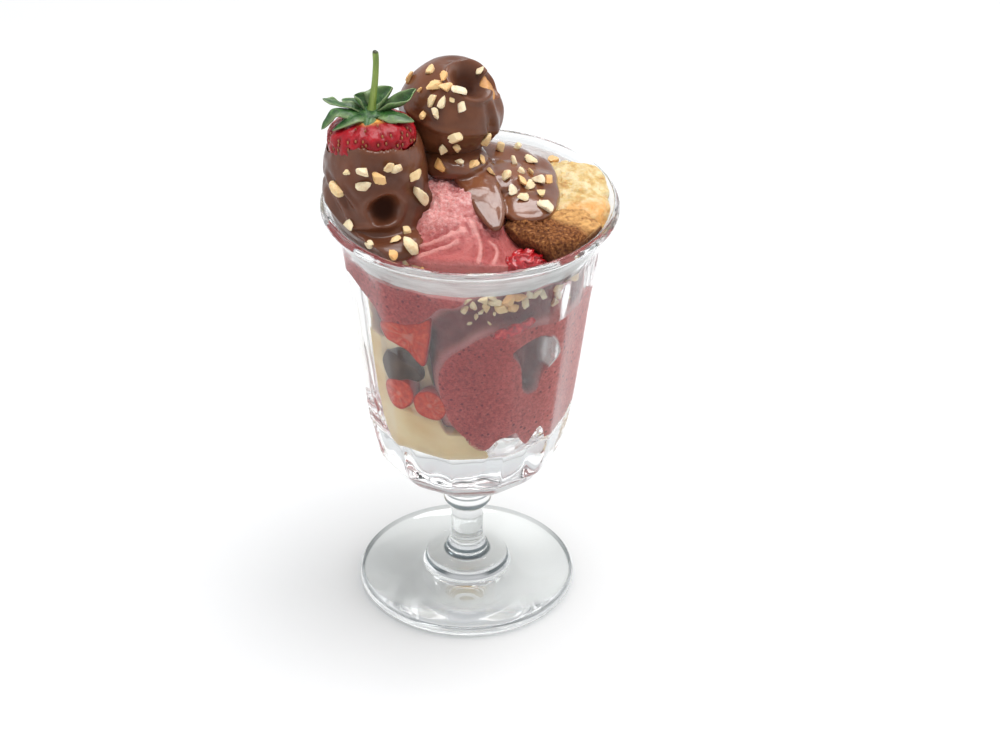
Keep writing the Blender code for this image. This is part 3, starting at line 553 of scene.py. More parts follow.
def cut_berry_finish():
    """Wet flesh: deep red at the skin, clouded red inside, with pale threads and heart."""
    flesh = Finish("cut_strawberry", Roughness=0.3, Specular_IOR_Level=0.3,
                   Subsurface_Weight=0.35, Subsurface_Scale=0.003,
                   Subsurface_Radius=(1.0, 0.35, 0.2))
    mottle = flesh.ramp(flesh.noise(1.9, 4.0, 0.7), (0.3, (0.50, 0.036, 0.018)),
                        (0.6, (0.73, 0.090, 0.044)), (0.8, (0.86, 0.21, 0.125)))
    rind = flesh.blend(flesh.stored("rind"), mottle, (0.42, 0.018, 0.022))
    threads = flesh.math("MULTIPLY", flesh.stored("threads"),
                         flesh.step(flesh.noise(1.1, 3.0), 0.3, 0.6))
    pale = flesh.blend(flesh.math("MULTIPLY", threads, 0.28), rind, (0.86, 0.50, 0.40))
    flesh.set("Base Color", flesh.blend(flesh.math("MULTIPLY", flesh.stored("heart"), 0.4), pale,
                                        (0.82, 0.46, 0.36)))
    flesh.relief((flesh.noise(0.9, 3.0), 0.12))
    return flesh


cut_flesh = cut_berry_finish()
dress("berry_wedge", cut_flesh, cut_berry("berry_wedge_flesh", WEDGE, 9.0, 11, 0.3))
dress("berry_half_left", cut_flesh, cut_berry("berry_half_flesh_left", LEFT_HALF, 8.0, 13, 0.2))
dress("berry_half_front", cut_flesh, cut_berry("berry_half_flesh_front", FRONT_HALF, 9.0, 14, 0.2))


# ---------------------------------------------------------------- chocolate at the wall
# A pocket of chocolate sauce that ran down between the strawberry pieces and set against the
# glass: nearly black, with a soft grey gleam.

# Outline on the wall, as azimuth and height
POCKET = ((-47.5, 100.5), (-48.5, 104), (-46, 107.5), (-42.5, 110), (-38, 109.5), (-33, 107.2),
          (-27, 105.4), (-23.5, 102.6), (-26, 100.6), (-32, 100.4), (-38, 98.6), (-44, 97.6))


def dark_chocolate_finish():
    """Dark chocolate seen through glass: almost black-brown, softly clouded."""
    dark = Finish("pocket_chocolate", Roughness=0.28, Coat_Weight=0.2)
    dark.set("Base Color", dark.ramp(dark.noise(6.0, 3.0), (0.3, (0.034, 0.014, 0.007)),
                                     (0.75, (0.120, 0.062, 0.034))))
    dark.relief((dark.noise(3.0, 2.0), 0.25))
    return dark


dress("chocolate_pocket", dark_chocolate_finish(),
      pressed("chocolate_pocket_sauce", POCKET, 7.5, 12)[0])


# ---------------------------------------------------------------- strawberry ice cream
# Soft pink ice cream pressed into the bowl with one rounded scoop on top. It wets the wall at
# the upper left, under the lip and in one broad smear on the right, with a hole in it and drips
# below; between them it stands back, so that the glass there has air behind it.

# Outlines on the wall, as azimuth and height, of what the ice cream wets and of the hole
UPPER_LEFT = ((-86, 135.5), (-78, 132), (-67, 130.2), (-58, 127.5), (-49, 124.5), (-44, 121),
              (-34, 122), (-24, 125), (-18, 129), (-13, 133), (-6, 134), (-4, 136.5), (-20, 137),
              (-50, 137), (-80, 137))
SMEAR = ((12, 122), (5, 120.5), (-2, 117), (-9, 113.3), (-13, 108), (-14.5, 103.5), (-13.2, 95.5),
         (-9, 86), (-3.5, 81), (1, 76), (6.5, 73.3), (12, 74.2), (16.5, 77.8), (22, 79),
         (27.5, 79.4), (31.5, 75.6), (37, 72.5), (40.5, 75.6), (45, 78.5), (51, 74), (56, 69.8),
         (62, 69.2), (68, 72), (80, 70), (96, 78), (108, 92), (104, 110), (88, 120), (72, 122),
         (66, 120.5), (55, 121.2), (48, 120.2), (42, 120.6), (35, 121.5), (24, 122))
HOLE = ((21.2, 113.2), (26, 115.6), (33, 117), (39.5, 116.8), (46.5, 113.5), (50, 107.4),
        (46.5, 104.2), (42, 102.2), (39.6, 99), (38.2, 95.4), (34, 94.4), (29.2, 96.8),
        (27.6, 101.7), (26, 107.5))
# Streak of soft strawberry pressed against the wall, along the smear's upper edge
JAM_STREAK = ((11, 120.8), (14, 123.8), (18, 124.2), (21, 125.6), (25, 125.4), (30, 126.4),
              (32.5, 124.4), (27, 122.0), (22, 121.4), (17, 120.2))
MOUND_CENTRE = (-5.0, -6.0)
# Ridges left by the scoop, as points (x, y) that each one runs through, and its height
RIDGES = (((-18.5, -31.0), (-13.9, -31.8), (-10.2, -31.4), (-6.1, -30.7), (-2.0, -29.0), 1.7),
          ((-20.5, -36.5), (-15.4, -34.9), (-11.7, -34.6), (-7.6, -33.9), (-4.0, -32.6), 1.4),
          ((1.0, -27.0), (3.2, -30.0), (3.4, -33.9), (2.8, -38.0), (2.6, -41.0), 1.3),
          ((6.3, -29.0), (8.4, -31.5), (8.2, -35.0), (7.0, -38.5), (6.4, -41.0), 1.1))


def contact(azimuth, height):
    """1 where the ice cream wets the wall, 0 where it stands back, with a 1 mm edge between,
    and the distance in mm to the wetted area, negative inside it."""
    upper = outline_distance(UPPER_LEFT, azimuth, height)
    smear = outline_distance(SMEAR, azimuth, height)
    hole = -outline_distance(HOLE, azimuth, height)
    streak = -outline_distance(JAM_STREAK, azimuth, height)
    away = np.maximum(np.minimum(upper, np.maximum(smear, hole)), streak)
    return 1.0 - smooth(away, -0.1, 0.9), away


def mound(x, y):
    """Height of a bed that slopes down to the back, with one scoop that falls off as exp(-r^3)."""
    away = np.hypot((x - MOUND_CENTRE[0]) / 19.0, (y - MOUND_CENTRE[1]) / 27.0)
    return 142.6 - 0.1 * y + 17.0 * np.exp(-away ** 3)


def ridge_height(x, y):
    """Sum of ridges: each falls off as exp(-(d/0.9)^2) with the distance d to its line, with a
    furrow on both sides."""
    total = 0.0 * x
    for *places, tall in RIDGES:
        line = through(places, 6)
        away = np.min([np.hypot(x - px, y - py) for px, py in line], 0)
        total += tall * (np.exp(-(away / 0.9) ** 2) - 0.45 * np.exp(-((away - 1.9) / 0.8) ** 2))
    return total


def ice_cream_surface():
    """Rings over the underside, up the wall, and in over the scoop.

    The radius is the wall's where the ice cream wets it, and 1.4 to 6 mm less elsewhere, more
    on the left, where fruit and cream fill the glass, and in the hole. Above, the mound's height
    gets the scoop's ridges, and a torn grain over its upper part. Gives the points and, by name,
    the values that the material reads: painted shade in the recesses and the hole, wet and right
    on the wall, painted light at the hole's right end, and torn, ridge and low, towards the rim,
    on the scoop.
    """
    azimuth = np.concatenate([np.linspace(-100.0, 112.0, 262, endpoint=False),
                              np.linspace(112.0, 260.0, 58, endpoint=False)])
    from_smear = np.abs(azimuth - 33.0)
    foot = 80.0 - 8.5 * (1.0 - smooth(from_smear, 42.0, 62.0)) \
        + 2.0 * smooth(from_smear, 90.0, 120.0)
    brim = 44.4
    turn = np.radians(azimuth)
    top = mound(brim * np.sin(turn), -brim * np.cos(turn))
    height = foot + (top - foot) * np.linspace(0.0, 1.0, 170)[:, None]
    touching, away = contact(azimuth, height)
    from_hole = outline_distance(HOLE, azimuth, height)
    from_left = np.abs((azimuth + 90.0 + 180.0) % 360.0 - 180.0)
    left = (1.0 - smooth(from_left, 62.0, 76.0)) * (1.0 - smooth(height, 118.0, 128.0))
    wall_radius = inner_radius(height)
    wall = polar(wall_radius, azimuth, height)
    lumps = 0.9 * cloud(wall, 9.0, 5) + 0.4 * cloud(wall, 4.0, 6)
    deep = (4.5 - 3.6 * smooth(azimuth, 42.5, 45.0)) * (1.0 - smooth(from_hole, -1.0, 0.4))
    stand = (1.4 * smooth(away, 0.0, 1.0) + 3.4 * smooth(away, 0.5, 7.0)) * (1.0 + 0.25 * lumps)
    stand = (stand + 8.0 * left + deep) * (1.0 - touching) + 0.8 * smooth(height, 138.0, 143.5)
    radius = wall_radius + WET - stand
    side = polar(radius, azimuth, height)
    under = np.linspace(0.15, 0.94, 9)[:, None]
    base = polar(radius[0] * under, azimuth, foot + 5.0 * (1.0 - under ** 2))
    part = np.linspace(0.985, 0.012, 112)[:, None]
    x = MOUND_CENTRE[0] * (1.0 - part) + radius[-1] * part * np.sin(turn)
    y = MOUND_CENTRE[1] * (1.0 - part) - radius[-1] * part * np.cos(turn)
    z = mound(x, y)
    scoop = np.stack([x, y, z], -1)
    torn = 0.3 + 0.7 * smooth(z, 148.5, 152.5) * smooth(y, -34.0, -28.0)
    grain = 0.7 * cloud(scoop, 1.5, 21) + 0.4 * cloud(scoop, 0.8, 22) + 1.4 * cloud(scoop, 4.5, 23)
    ridges = ridge_height(x, y)
    folds = 0.5 * cloud(scoop * (1.0, 2.0, 2.0), 9.0, 24) + ridges
    inner = smooth(1.0 - part, 0.015, 0.1)
    scoop[..., 2] += inner * (torn * grain + (1.0 - 0.6 * torn) * folds)
    # Painted shade: darker where the ice cream stands back from the glass.
    recess_shade = smooth(away, 0.4, 4.0) * (1.0 - smooth(height, 132.0, 138.0)) \
        * (1.0 - 0.8 * smooth(np.abs(azimuth - 5.0), 72.0, 100.0))
    # Painted light: white at the hole's right end, standing in for light that comes through there.
    hole_light = (1.0 - smooth(from_hole, 0.2, 0.8)) * smooth(azimuth, 43.5, 45.0) \
        * smooth(height, 100.0, 104.0)
    on_side = {"pit_shade": np.maximum(1.0 - smooth(from_hole, -0.8, 0.2), recess_shade), "wet": touching,
               "hole_light": hole_light, "right": touching * smooth(azimuth, -2.0, 62.0)}
    # On the scoop, ridge also gives painted highlights on ridges and painted shade in creases, and
    # low gives painted shade towards the rim.
    on_scoop = {"torn": torn, "ridge": ridges + 0.7 * folds + 0.6 * torn * grain,
                "low": 0.9 - 0.9 * smooth(z, 149.0, 158.5)}
    marks = {name: np.concatenate([np.zeros(base.shape[:2]), values, 0.0 * x])
             for name, values in on_side.items()}
    marks |= {name: np.concatenate([np.zeros(base.shape[:2]), 0.0 * height, values])
              for name, values in on_scoop.items()}
    return np.concatenate([base, side, scoop]), marks


def ice_cream_finish():
    """Pink ice cream: fine icy grain, drifts of paler and deeper pink, dark red seeds.

    The torn part is frosted with ice crystals, painted highlights make the ridges paler, and
    painted shade makes the creases between them and the low part by the rim deeper. What wets the
    glass is a deeper pink with more seeds, brighter to the right; painted shade darkens the
    recesses and the hole, and painted light whitens the hole's right end.
    """
    pink = Finish("strawberry_ice", Roughness=0.42, Subsurface_Weight=0.25,
                  Subsurface_Scale=0.003, Subsurface_Radius=(1.0, 0.45, 0.4))
    drift = pink.ramp(pink.noise(16.0, 4.0, 0.55), (0.25, (0.50, 0.125, 0.122)),
                      (0.5, (0.66, 0.210, 0.195)), (0.75, (0.86, 0.360, 0.330)))
    grain = pink.step(pink.noise(0.8, 3.0, 0.65), 0.35, 0.7)
    grained = pink.blend(pink.math("MULTIPLY", grain, 0.35), drift, (0.74, 0.33, 0.32))
    frost = pink.math("MULTIPLY", pink.step(pink.noise(1.3, 4.0, 0.7), 0.42, 0.66),
                      pink.stored("torn"))
    frosted = pink.blend(pink.math("MULTIPLY", frost, 0.85), grained, (0.90, 0.55, 0.52))
    pressed_pink = pink.ramp(pink.noise(1.1, 4.0, 0.7), (0.3, (0.33, 0.040, 0.048)),
                             (0.5, (0.57, 0.084, 0.087)), (0.7, (0.75, 0.170, 0.160)))
    bright = pink.ramp(pink.noise(1.1, 4.0, 0.7), (0.3, (0.48, 0.070, 0.072)),
                       (0.5, (0.72, 0.160, 0.145)), (0.7, (0.88, 0.300, 0.260)))
    pressed_pink = pink.blend(pink.stored("right"), pressed_pink, bright)
    # Painted shade: deeper pink low on the scoop by the rim.
    low_shaded_pink = pink.blend(pink.stored("low"), frosted, (0.50, 0.095, 0.085))
    frosted = pink.blend(pink.math("MULTIPLY", pink.stored("wet"), 0.9), low_shaded_pink, pressed_pink)
    # Painted shade in the creases, painted highlights on the ridges.
    creased = pink.blend(pink.step(pink.stored("ridge"), -1.3, -0.2, 0.75, 0.0), frosted,
                         (0.44, 0.080, 0.078))
    ridge_highlighted = pink.blend(pink.step(pink.stored("ridge"), 0.5, 1.6, 0.0, 0.6), creased,
                        (0.86, 0.42, 0.38))
    specks = pink.step(pink.cells(2.9), 0.13, 0.20, 1.0, 0.0)
    small = pink.step(pink.cells(1.3), 0.14, 0.24, 1.0, 0.0)
    spots = pink.math("MAXIMUM", specks, pink.math("MULTIPLY", small, 0.55))
    spots = pink.math("MULTIPLY", spots, pink.step(pink.stored("wet"), 0.0, 1.0, 0.22, 0.85))
    seeded = pink.blend(spots, ridge_highlighted, (0.19, 0.018, 0.030))
    # Painted shade in the recesses and the hole.
    deep = pink.math("MULTIPLY", pink.stored("pit_shade"),
                     pink.step(pink.noise(5.0, 3.0, 0.6), 0.35, 0.65, 1.0, 0.84))
    hollow = pink.blend(deep, seeded, (0.165, 0.010, 0.014))
    pink.set("Specular IOR Level", pink.step(pink.stored("pit_shade"), 0.0, 0.6, 0.5, 0.05))
    # Painted light: white at the hole's right end.
    pink.set("Base Color", pink.blend(pink.stored("hole_light"), hollow, (0.88, 0.85, 0.84)))
    pink.relief((pink.noise(0.6, 3.0, 0.65), 0.6), (pink.noise(2.2, 4.0, 0.6), 1.0))
    return pink


ice_grid, ice_marks = ice_cream_surface()
ice_cream = skin("strawberry_scoops", ice_grid, (0.0, 0.0, 84.0),
                 (*MOUND_CENTRE, mound(*MOUND_CENTRE)))
for mark, values in ice_marks.items():
    paint(ice_cream, mark, with_poles(values))
dress("strawberry_ice_cream", ice_cream_finish(), ice_cream)


# ---------------------------------------------------------------- soft strawberry at the rim
# A piece of cooked, soft strawberry squeezed up between the scoop, the biscuit and the front of
# the rim: a wrinkled, wet, deep red blob. A streak of the same runs along the glass lower down.

RIM_BERRY, RIM_BERRY_HALF = np.array([17.5, -34.0, 146.2]), (6.2, 5.4, 3.8)


def ball(rows, columns):
    """Unit vectors over a sphere, ring by ring from the bottom, without the two poles."""
    tilt = np.pi * (np.arange(1, rows + 1) / (rows + 1.0) - 0.5)[:, None]
    turn = 2.0 * np.pi * np.arange(columns) / columns
    return np.stack([np.cos(tilt) * np.cos(turn), np.cos(tilt) * np.sin(turn),
                     np.sin(tilt) + 0.0 * turn], -1)


def blob(name, rows, columns, shape):
    """Closed piece whose points are shape(unit vectors), with shape of the poles at its ends."""
    ends = shape(np.array([[[0.0, 0.0, -1.0], [0.0, 0.0, 1.0]]]))[0]
    return skin(name, shape(ball(rows, columns)), *ends)


def within_glass(points, clear):
    """Draws points in to the clear distance inside the wall; above the lip the limit opens."""
    lip = 149.0
    away = np.maximum(np.hypot(points[..., 0], points[..., 1]), 1e-6)
    height = points[..., 2]
    room = inner_radius(np.minimum(height, lip)) - clear
    room = room + 0.5 * np.maximum(height - lip - 1.4, 0.0)
    scale = np.minimum(1.0, room / away)[..., None]
    return points * np.concatenate([scale, scale, 1.0 + 0.0 * scale], -1)


def rim_berry_shape(unit):
    """Oval lump, wrinkled by folds 0.9 mm high where two clouds together change sign."""
    points = RIM_BERRY + unit * RIM_BERRY_HALF
    fold = 1.0 - smooth(np.abs(cloud(points, 2.6, 71) + 0.5 * cloud(points, 1.3, 72)), 0.0, 0.35)
    return within_glass(points + unit * (0.9 * fold - 0.4)[..., None], 0.2)


def soft_berry_finish(name, *reds):
    """Cooked strawberry, wet and glossy, clouded through three reds."""
    soft = Finish(name, Roughness=0.18, Subsurface_Weight=0.3, Subsurface_Scale=0.001,
                  Subsurface_Radius=(1.0, 0.2, 0.15), Coat_Weight=0.5)
    soft.set("Base Color", soft.ramp(soft.noise(1.8, 4.0, 0.7), *zip((0.35, 0.55, 0.7), reds)))
    soft.relief((soft.noise(0.8, 3.0), 0.2))
    return soft


dress("berry_rim_piece",
      soft_berry_finish("soft_strawberry", (0.22, 0.004, 0.008), (0.48, 0.009, 0.016),
                        (0.70, 0.050, 0.045)),
      blob("soft_strawberry_piece", 70, 110, rim_berry_shape))
jam = pressed("jam_streak", JAM_STREAK, 2.2, 15, rows=30, columns=90, edge=0.6)[0]
soft_berry_finish("pressed_jam", (0.26, 0.004, 0.009), (0.66, 0.008, 0.024),
                  (0.88, 0.130, 0.120)).put_on(jam)


# ---------------------------------------------------------------- cheesecake and its base
# A chunk broken off a baked cheesecake: pale filling with a dry, torn top, lying on its side
# against the right wall, and its base of pressed biscuit crumb turned to the front.

# Middle and half sizes of the filling, the slab of biscuit and its broken end
FILLING, FILLING_HALF = np.array([28.0, 2.0, 146.0]), (16.5, 20.0, 8.8)
SLAB, SLAB_HALF = np.array([26.0, -23.0, 145.5]), (15.5, 9.6, 8.6)
CRUMBS, CRUMBS_HALF = np.array([17.5, -18.0, 146.5]), (6.4, 10.5, 8.8)
SLAB_TURN = 24.0             # degrees by which the slab runs back towards the right


def turned_axes(degrees):
    """Three unit vectors: the axes turned about the upright by an angle."""
    c, s = math.cos(math.radians(degrees)), math.sin(math.radians(degrees))
    return np.array([[c, s, 0.0], [-s, c, 0.0], [0.0, 0.0, 1.0]])


def squared(unit, power):
    """Unit vectors drawn out to a superellipsoid: each over (|x|^p + |y|^p + |z|^p)^(1/p)."""
    return unit / (np.abs(unit) ** power).sum(-1, keepdims=True) ** (1.0 / power)


def filling_shape(unit):
    """Block with rounded edges, torn by clouds of 6, 2.2 and 1 mm and by small pits."""
    points = FILLING + squared(unit, 3.6) * FILLING_HALF
    torn = 0.9 * cloud(points, 6.0, 52) + 0.5 * cloud(points, 2.2, 53) \
        + 0.3 * cloud(points, 1.0, 54)
    pits = smooth(cloud(points, 1.7, 55), 0.3, 0.7)
    return within_glass(points + unit * (torn - 0.7 * pits)[..., None], 0.15)


def filling_finish():
    """Baked filling: pale yellow curds with darker gaps and brown crumbs, golden near the base."""
    cake = Finish("cheesecake_filling", Roughness=0.55, Subsurface_Weight=0.3,
                  Subsurface_Scale=0.004, Subsurface_Radius=(1.0, 0.75, 0.4))
    curd = cake.ramp(cake.noise(4.0, 5.0, 0.65), (0.32, (0.47, 0.24, 0.060)),
                     (0.45, (0.64, 0.44, 0.165)), (0.62, (0.76, 0.63, 0.37)))
    gold = cake.math("MULTIPLY", cake.stored("gold"), cake.step(cake.noise(3.0, 3.0), 0.3, 0.6))
    golden = cake.blend(gold, curd, (0.74, 0.36, 0.10))
    crumbs = cake.step(cake.noise(2.2, 4.0, 0.6), 0.60, 0.68, 0.0, 0.6)
    cake.set("Base Color", cake.blend(crumbs, golden, (0.62, 0.30, 0.09)))
    cake.relief((cake.noise(1.2, 4.0, 0.6), 0.45), (cake.cells(2.0), 0.2))
    return cake


def sheared(points):
    """Cuts the slab's left end slantwise: points there move to the right, by 0.4 mm for each mm
    below 152 mm and by up to 0.65 mm for each mm in front of -20 mm."""
    lean = 0.4 * np.maximum(152.0 - points[..., 2:], 0.0)
    left = 0.65 * smooth(26.0 - points[..., :1], 0.0, 11.0)
    return points + (lean + left * np.maximum(-20.0 - points[..., 1:2], 0.0)) * (1.0, 0.0, 0.0)


def biscuit_shape(unit):
    """Slab with rounded edges, turned, its left end slanting: smooth in front, where a knife cut
    it, and crumbly on top and at the left end, by clouds of 2.4 and 1.1 mm."""
    axes = turned_axes(SLAB_TURN)
    points = SLAB + (squared(unit, 5.5) * SLAB_HALF) @ axes
    crumb = smooth(unit[..., 2], 0.25, 0.7)
    left = smooth(24.0 - points[..., 0], 0.0, 8.0)
    bumps = 0.4 * cloud(points, 6.0, 56) + np.maximum(crumb, left) * (
        0.6 * cloud(points, 2.4, 57) + 0.45 * cloud(points, 1.1, 58))
    return within_glass(sheared(points + (unit * bumps[..., None]) @ axes), 0.15)


def crumb_shape(unit):
    """Broken end of the base, slanting too: a rough lump of crumb with pores between grains."""
    points = CRUMBS + squared(unit, 3.0) * CRUMBS_HALF
    grains = 0.8 * cloud(points, 2.6, 59) + 0.6 * cloud(points, 1.3, 60)
    pores = smooth(cloud(points, 1.6, 61), 0.35, 0.6)
    return within_glass(sheared(points + unit * (grains - 1.2 * pores)[..., None]), 0.15)


def biscuit_finish():
    """Biscuit crumb: brown with golden grains and dark pores; painted light makes it golden along
    its upper edge, and painted shade makes it dark at its foot."""
    crust = Finish("biscuit_crumb", Roughness=0.75, Specular_IOR_Level=0.2)
    grains = crust.ramp(crust.noise(0.9, 3.0, 0.6), (0.30, (0.045, 0.011, 0.004)),
                        (0.46, (0.180, 0.058, 0.017)), (0.60, (0.320, 0.120, 0.036)),
                        (0.76, (0.600, 0.300, 0.100)))
    # Painted light: golden along the upper edge, where the light from above falls.
    edge = crust.math("MULTIPLY", crust.stored("edge"),
                      crust.step(crust.noise(2.0, 3.0), 0.2, 0.6))
    golden = crust.blend(edge, grains, (0.76, 0.42, 0.15))
    # Painted shade: dark at the foot.
    foot = crust.math("MULTIPLY", crust.stored("foot"), 0.85)
    crust.set("Base Color", crust.blend(foot, golden, (0.075, 0.020, 0.012)))
    crust.relief((crust.noise(0.7, 4.0, 0.65), 0.5), (crust.cells(1.6), 0.4))
    return crust


filling = blob("cheesecake_chunk", 180, 260, filling_shape)
places = positions(filling)
paint(filling, "gold", smooth(-places[:, 1] + 0.45 * (places[:, 0] - 30.0), 8.5, 14.0))
dress("cheesecake", filling_finish(), filling)

biscuit = [blob("biscuit_slab", 120, 200, biscuit_shape),
           blob("biscuit_crumbs", 110, 150, crumb_shape)]
for piece in biscuit:
    places = positions(piece)
    slope = places[:, 2] + 0.12 * places[:, 0]
    # The edge value is painted light on the upper edge, and the foot value painted shade low down.
    paint(piece, "edge", smooth(places[:, 1] + 0.6 * (places[:, 0] - 28.0), -24.0, -18.0)
          * smooth(places[:, 2], 150.0, 153.0))
    paint(piece, "foot", 1.0 - smooth(slope, 148.0, 157.5))
dress("biscuit_base", biscuit_finish(), *biscuit)


# ---------------------------------------------------------------- dipped strawberry
# Whole ripe strawberry stood shoulders up and dipped in milk chocolate. The skin swells between
# the seeds, which sit in small dimples set in staggered rows.

BERRY_TOP = np.array([-32.0, -8.0, 184.0])
BERRY_TIP = np.array([-27.0, -13.0, 141.0])
BERRY_RADIUS = 13.8
SEED_ROWS = 12


def frame_along(axis):
    """Three unit vectors: two across the axis and the axis itself."""
    along = axis / np.linalg.norm(axis)
    side = np.cross(along, (0.0, 1.0, 0.0))
    side /= np.linalg.norm(side)
    return side, np.cross(along, side), along


BERRY_SIDE, BERRY_OTHER, BERRY_DOWN = frame_along(BERRY_TIP - BERRY_TOP)
BERRY_LENGTH = np.linalg.norm(BERRY_TIP - BERRY_TOP)


def berry_profile(along):
    """Radius from the shoulders, 0, to the tip, 1: a quarter oval, then a blunt taper."""
    shoulder = 1.0 - np.clip(1.0 - along / 0.16, 0.0, 1.0) ** 3.0
    taper = 1.0 - np.clip((along - 0.25) / 0.75, 0.0, 1.0) ** 2.1
    return BERRY_RADIUS * np.sqrt(np.clip(shoulder, 0.0, 1.0)) * np.clip(taper, 0.0, 1.0) ** 0.62


def round_berry(along, turn, radius):
    """Points at a radius round the strawberry's leaning axis."""
    return (BERRY_TOP + (BERRY_LENGTH * along)[..., None] * BERRY_DOWN
            + (radius * np.cos(turn))[..., None] * BERRY_SIDE
            + (radius * np.sin(turn))[..., None] * BERRY_OTHER)


def on_berry(along, turn, out=0.0):
    """Points out mm off the strawberry's skin, which bulges three times round."""
    radius = berry_profile(along) * (1.0 + 0.025 * np.sin(3.0 * turn + 1.0)) + out
    radius, along, turn = np.broadcast_arrays(radius, along, turn)
    return round_berry(along, turn, radius)


def seed_places():
    """(along, turn) of every seed: rows 2 mm apart, each turned by half a step, shaken a bit."""
    draw = np.random.default_rng(91)
    places = []
    for row in range(SEED_ROWS):
        along = 0.03 + 0.047 * row
        count = max(6, int(2.0 * math.pi * float(berry_profile(np.array(along))) / 3.5))
        turn = 2.0 * math.pi * (np.arange(count) + 0.5 * (row % 2)) / count
        places.append(np.stack([along + draw.normal(0.0, 0.010, count),
                                turn + draw.normal(0.0, 0.085, count)], -1))
    return np.vstack(places)


SEEDS = seed_places()


def strawberry_surface():
    """Rings along the axis, and how deep in a dimple each point lies, from 0 to 1.

    The skin dips 0.85 mm at a seed as exp(-(d/0.95)^2), and draws in by 0.9 mm under the coat.
    """
    along = 0.5 - 0.5 * np.cos(np.pi * np.linspace(0.03, 0.97, 190))[:, None]
    turn = 2.0 * np.pi * np.arange(250) / 250
    round_here = np.maximum(berry_profile(along), 3.0)
    dip = 0.0
    for seed_along, seed_turn in SEEDS:
        apart = (turn - seed_turn + np.pi) % (2.0 * np.pi) - np.pi
        away = np.hypot(apart * round_here, (along - seed_along) * BERRY_LENGTH * 0.8)
        dip = np.maximum(dip, np.exp(-(away / 0.95) ** 2))
    return on_berry(along, turn, 0.35 - 0.85 * dip - 0.9 * smooth(along, 0.19, 0.24)), dip


def strawberry_finish():
    """Glossy red skin, deeper red in the dimples, orange and yellow near the leaves."""
    red = Finish("strawberry_skin", Roughness=0.2, Specular_IOR_Level=0.3,
                 Subsurface_Weight=0.25, Subsurface_Scale=0.002,
                 Subsurface_Radius=(1.0, 0.15, 0.1))
    skin_red = red.ramp(red.noise(5.0, 3.0), (0.3, (0.24, 0.004, 0.009)),
                        (0.7, (0.44, 0.012, 0.022)))
    dips = red.blend(red.math("MULTIPLY", red.stored("dip"), 0.75), skin_red,
                     (0.20, 0.004, 0.008))
    top = red.math("MULTIPLY", red.stored("top"), red.step(red.noise(2.0, 3.0), 0.25, 0.6))
    red.set("Base Color", red.blend(top, dips, (0.83, 0.42, 0.10)))
    red.relief((red.noise(1.4, 3.0, 0.6), 0.34), (red.noise(5.0, 2.0), 0.4))
    return red


def gathered(name, bodies, rows, columns):
    """One piece of many small bodies, each the points of a ball's rings and then its poles."""
    quads, caps = grid_faces(rows, columns)
    size = rows * columns + 2
    faces = [face for number in range(len(bodies)) for group in (quads, caps)
             for face in (group + number * size).tolist()]
    mesh = bpy.data.meshes.new(name)
    mesh.from_pydata((np.vstack(bodies) * MM).tolist(), [], faces)
    mesh.shade_smooth()
    return piece_from(name, mesh)


def strawberry_seeds():
    """Small flat oval seeds lying in the dimples of the skin that shows."""
    rows, columns = 5, 8
    oval = (ball(rows, columns) * (0.34, 0.6, 0.24)).reshape(-1, 3)
    body = np.vstack([oval, [[0.0, 0.0, -0.32], [0.0, 0.0, 0.32]]])
    bodies = []
    for along, turn in SEEDS[SEEDS[:, 0] < 0.32]:
        here = on_berry(np.array(along), np.array(turn), -0.12)
        out = here - (BERRY_TOP + BERRY_LENGTH * along * BERRY_DOWN)
        out /= np.linalg.norm(out)
        bodies.append(here + body @ np.array([np.cross(BERRY_DOWN, out), BERRY_DOWN, out]))
    return gathered("strawberry_seeds", bodies, rows, columns)


def seed_finish():
    """Glossy seeds, clouded from brown to yellow."""
    seed = Finish("seed_yellow", Roughness=0.35, Coat_Weight=0.4)
    seed.set("Base Color", seed.ramp(seed.noise(3.0), (0.3, (0.20, 0.045, 0.012)),
                                     (0.7, (0.48, 0.20, 0.06))))
    return seed


berry_grid, berry_dip = strawberry_surface()
strawberry = skin("ripe_strawberry", berry_grid, BERRY_TOP + 1.4 * BERRY_DOWN,
                  BERRY_TOP + (BERRY_LENGTH + 0.1) * BERRY_DOWN)
paint(strawberry, "dip", with_poles(berry_dip))
places = positions(strawberry) - BERRY_TOP
down = places @ BERRY_DOWN
aside = np.linalg.norm(places - np.outer(down, BERRY_DOWN), axis=1)
paint(strawberry, "top", (1.0 - smooth(aside, 5.5, 8.5)) * (1.0 - smooth(down, 6.0, 8.0)))
dress("strawberry", strawberry_finish(), strawberry)
seeds = strawberry_seeds()
seed_finish().put_on(seeds)


# ---------------------------------------------------------------- chocolate on the strawberry
# Milk chocolate the berry was dipped in: a thick coat with a thin wavy upper edge, a pool that
# ran out round its foot, and a lobe that slid off to the right. It set with drag ripples.

# Share of the way down from the coat's edge, and radius there
COAT_SHAPE = ((1.0, 9.0), (0.97, 13.5), (0.9, 16.0), (0.8, 17.0), (0.66, 16.6), (0.5, 16.0),
              (0.3, 15.6), (0.1, 15.1), (0.0, 14.3))
DENT = np.array([-26.6, -27.6, 160.4])
POOL, POOL_HALF = (-29.5, -19.0, 149.0), (17.0, 18.5, 4.2)
EAR, EAR_HALF = np.array([-16.0, -13.0, 154.0]), (5.0, 7.5, 8.0)
MILK, SHADE = (0.160, 0.050, 0.021), (0.090, 0.028, 0.012)
DEEP_SHADE = (0.026, 0.008, 0.005)


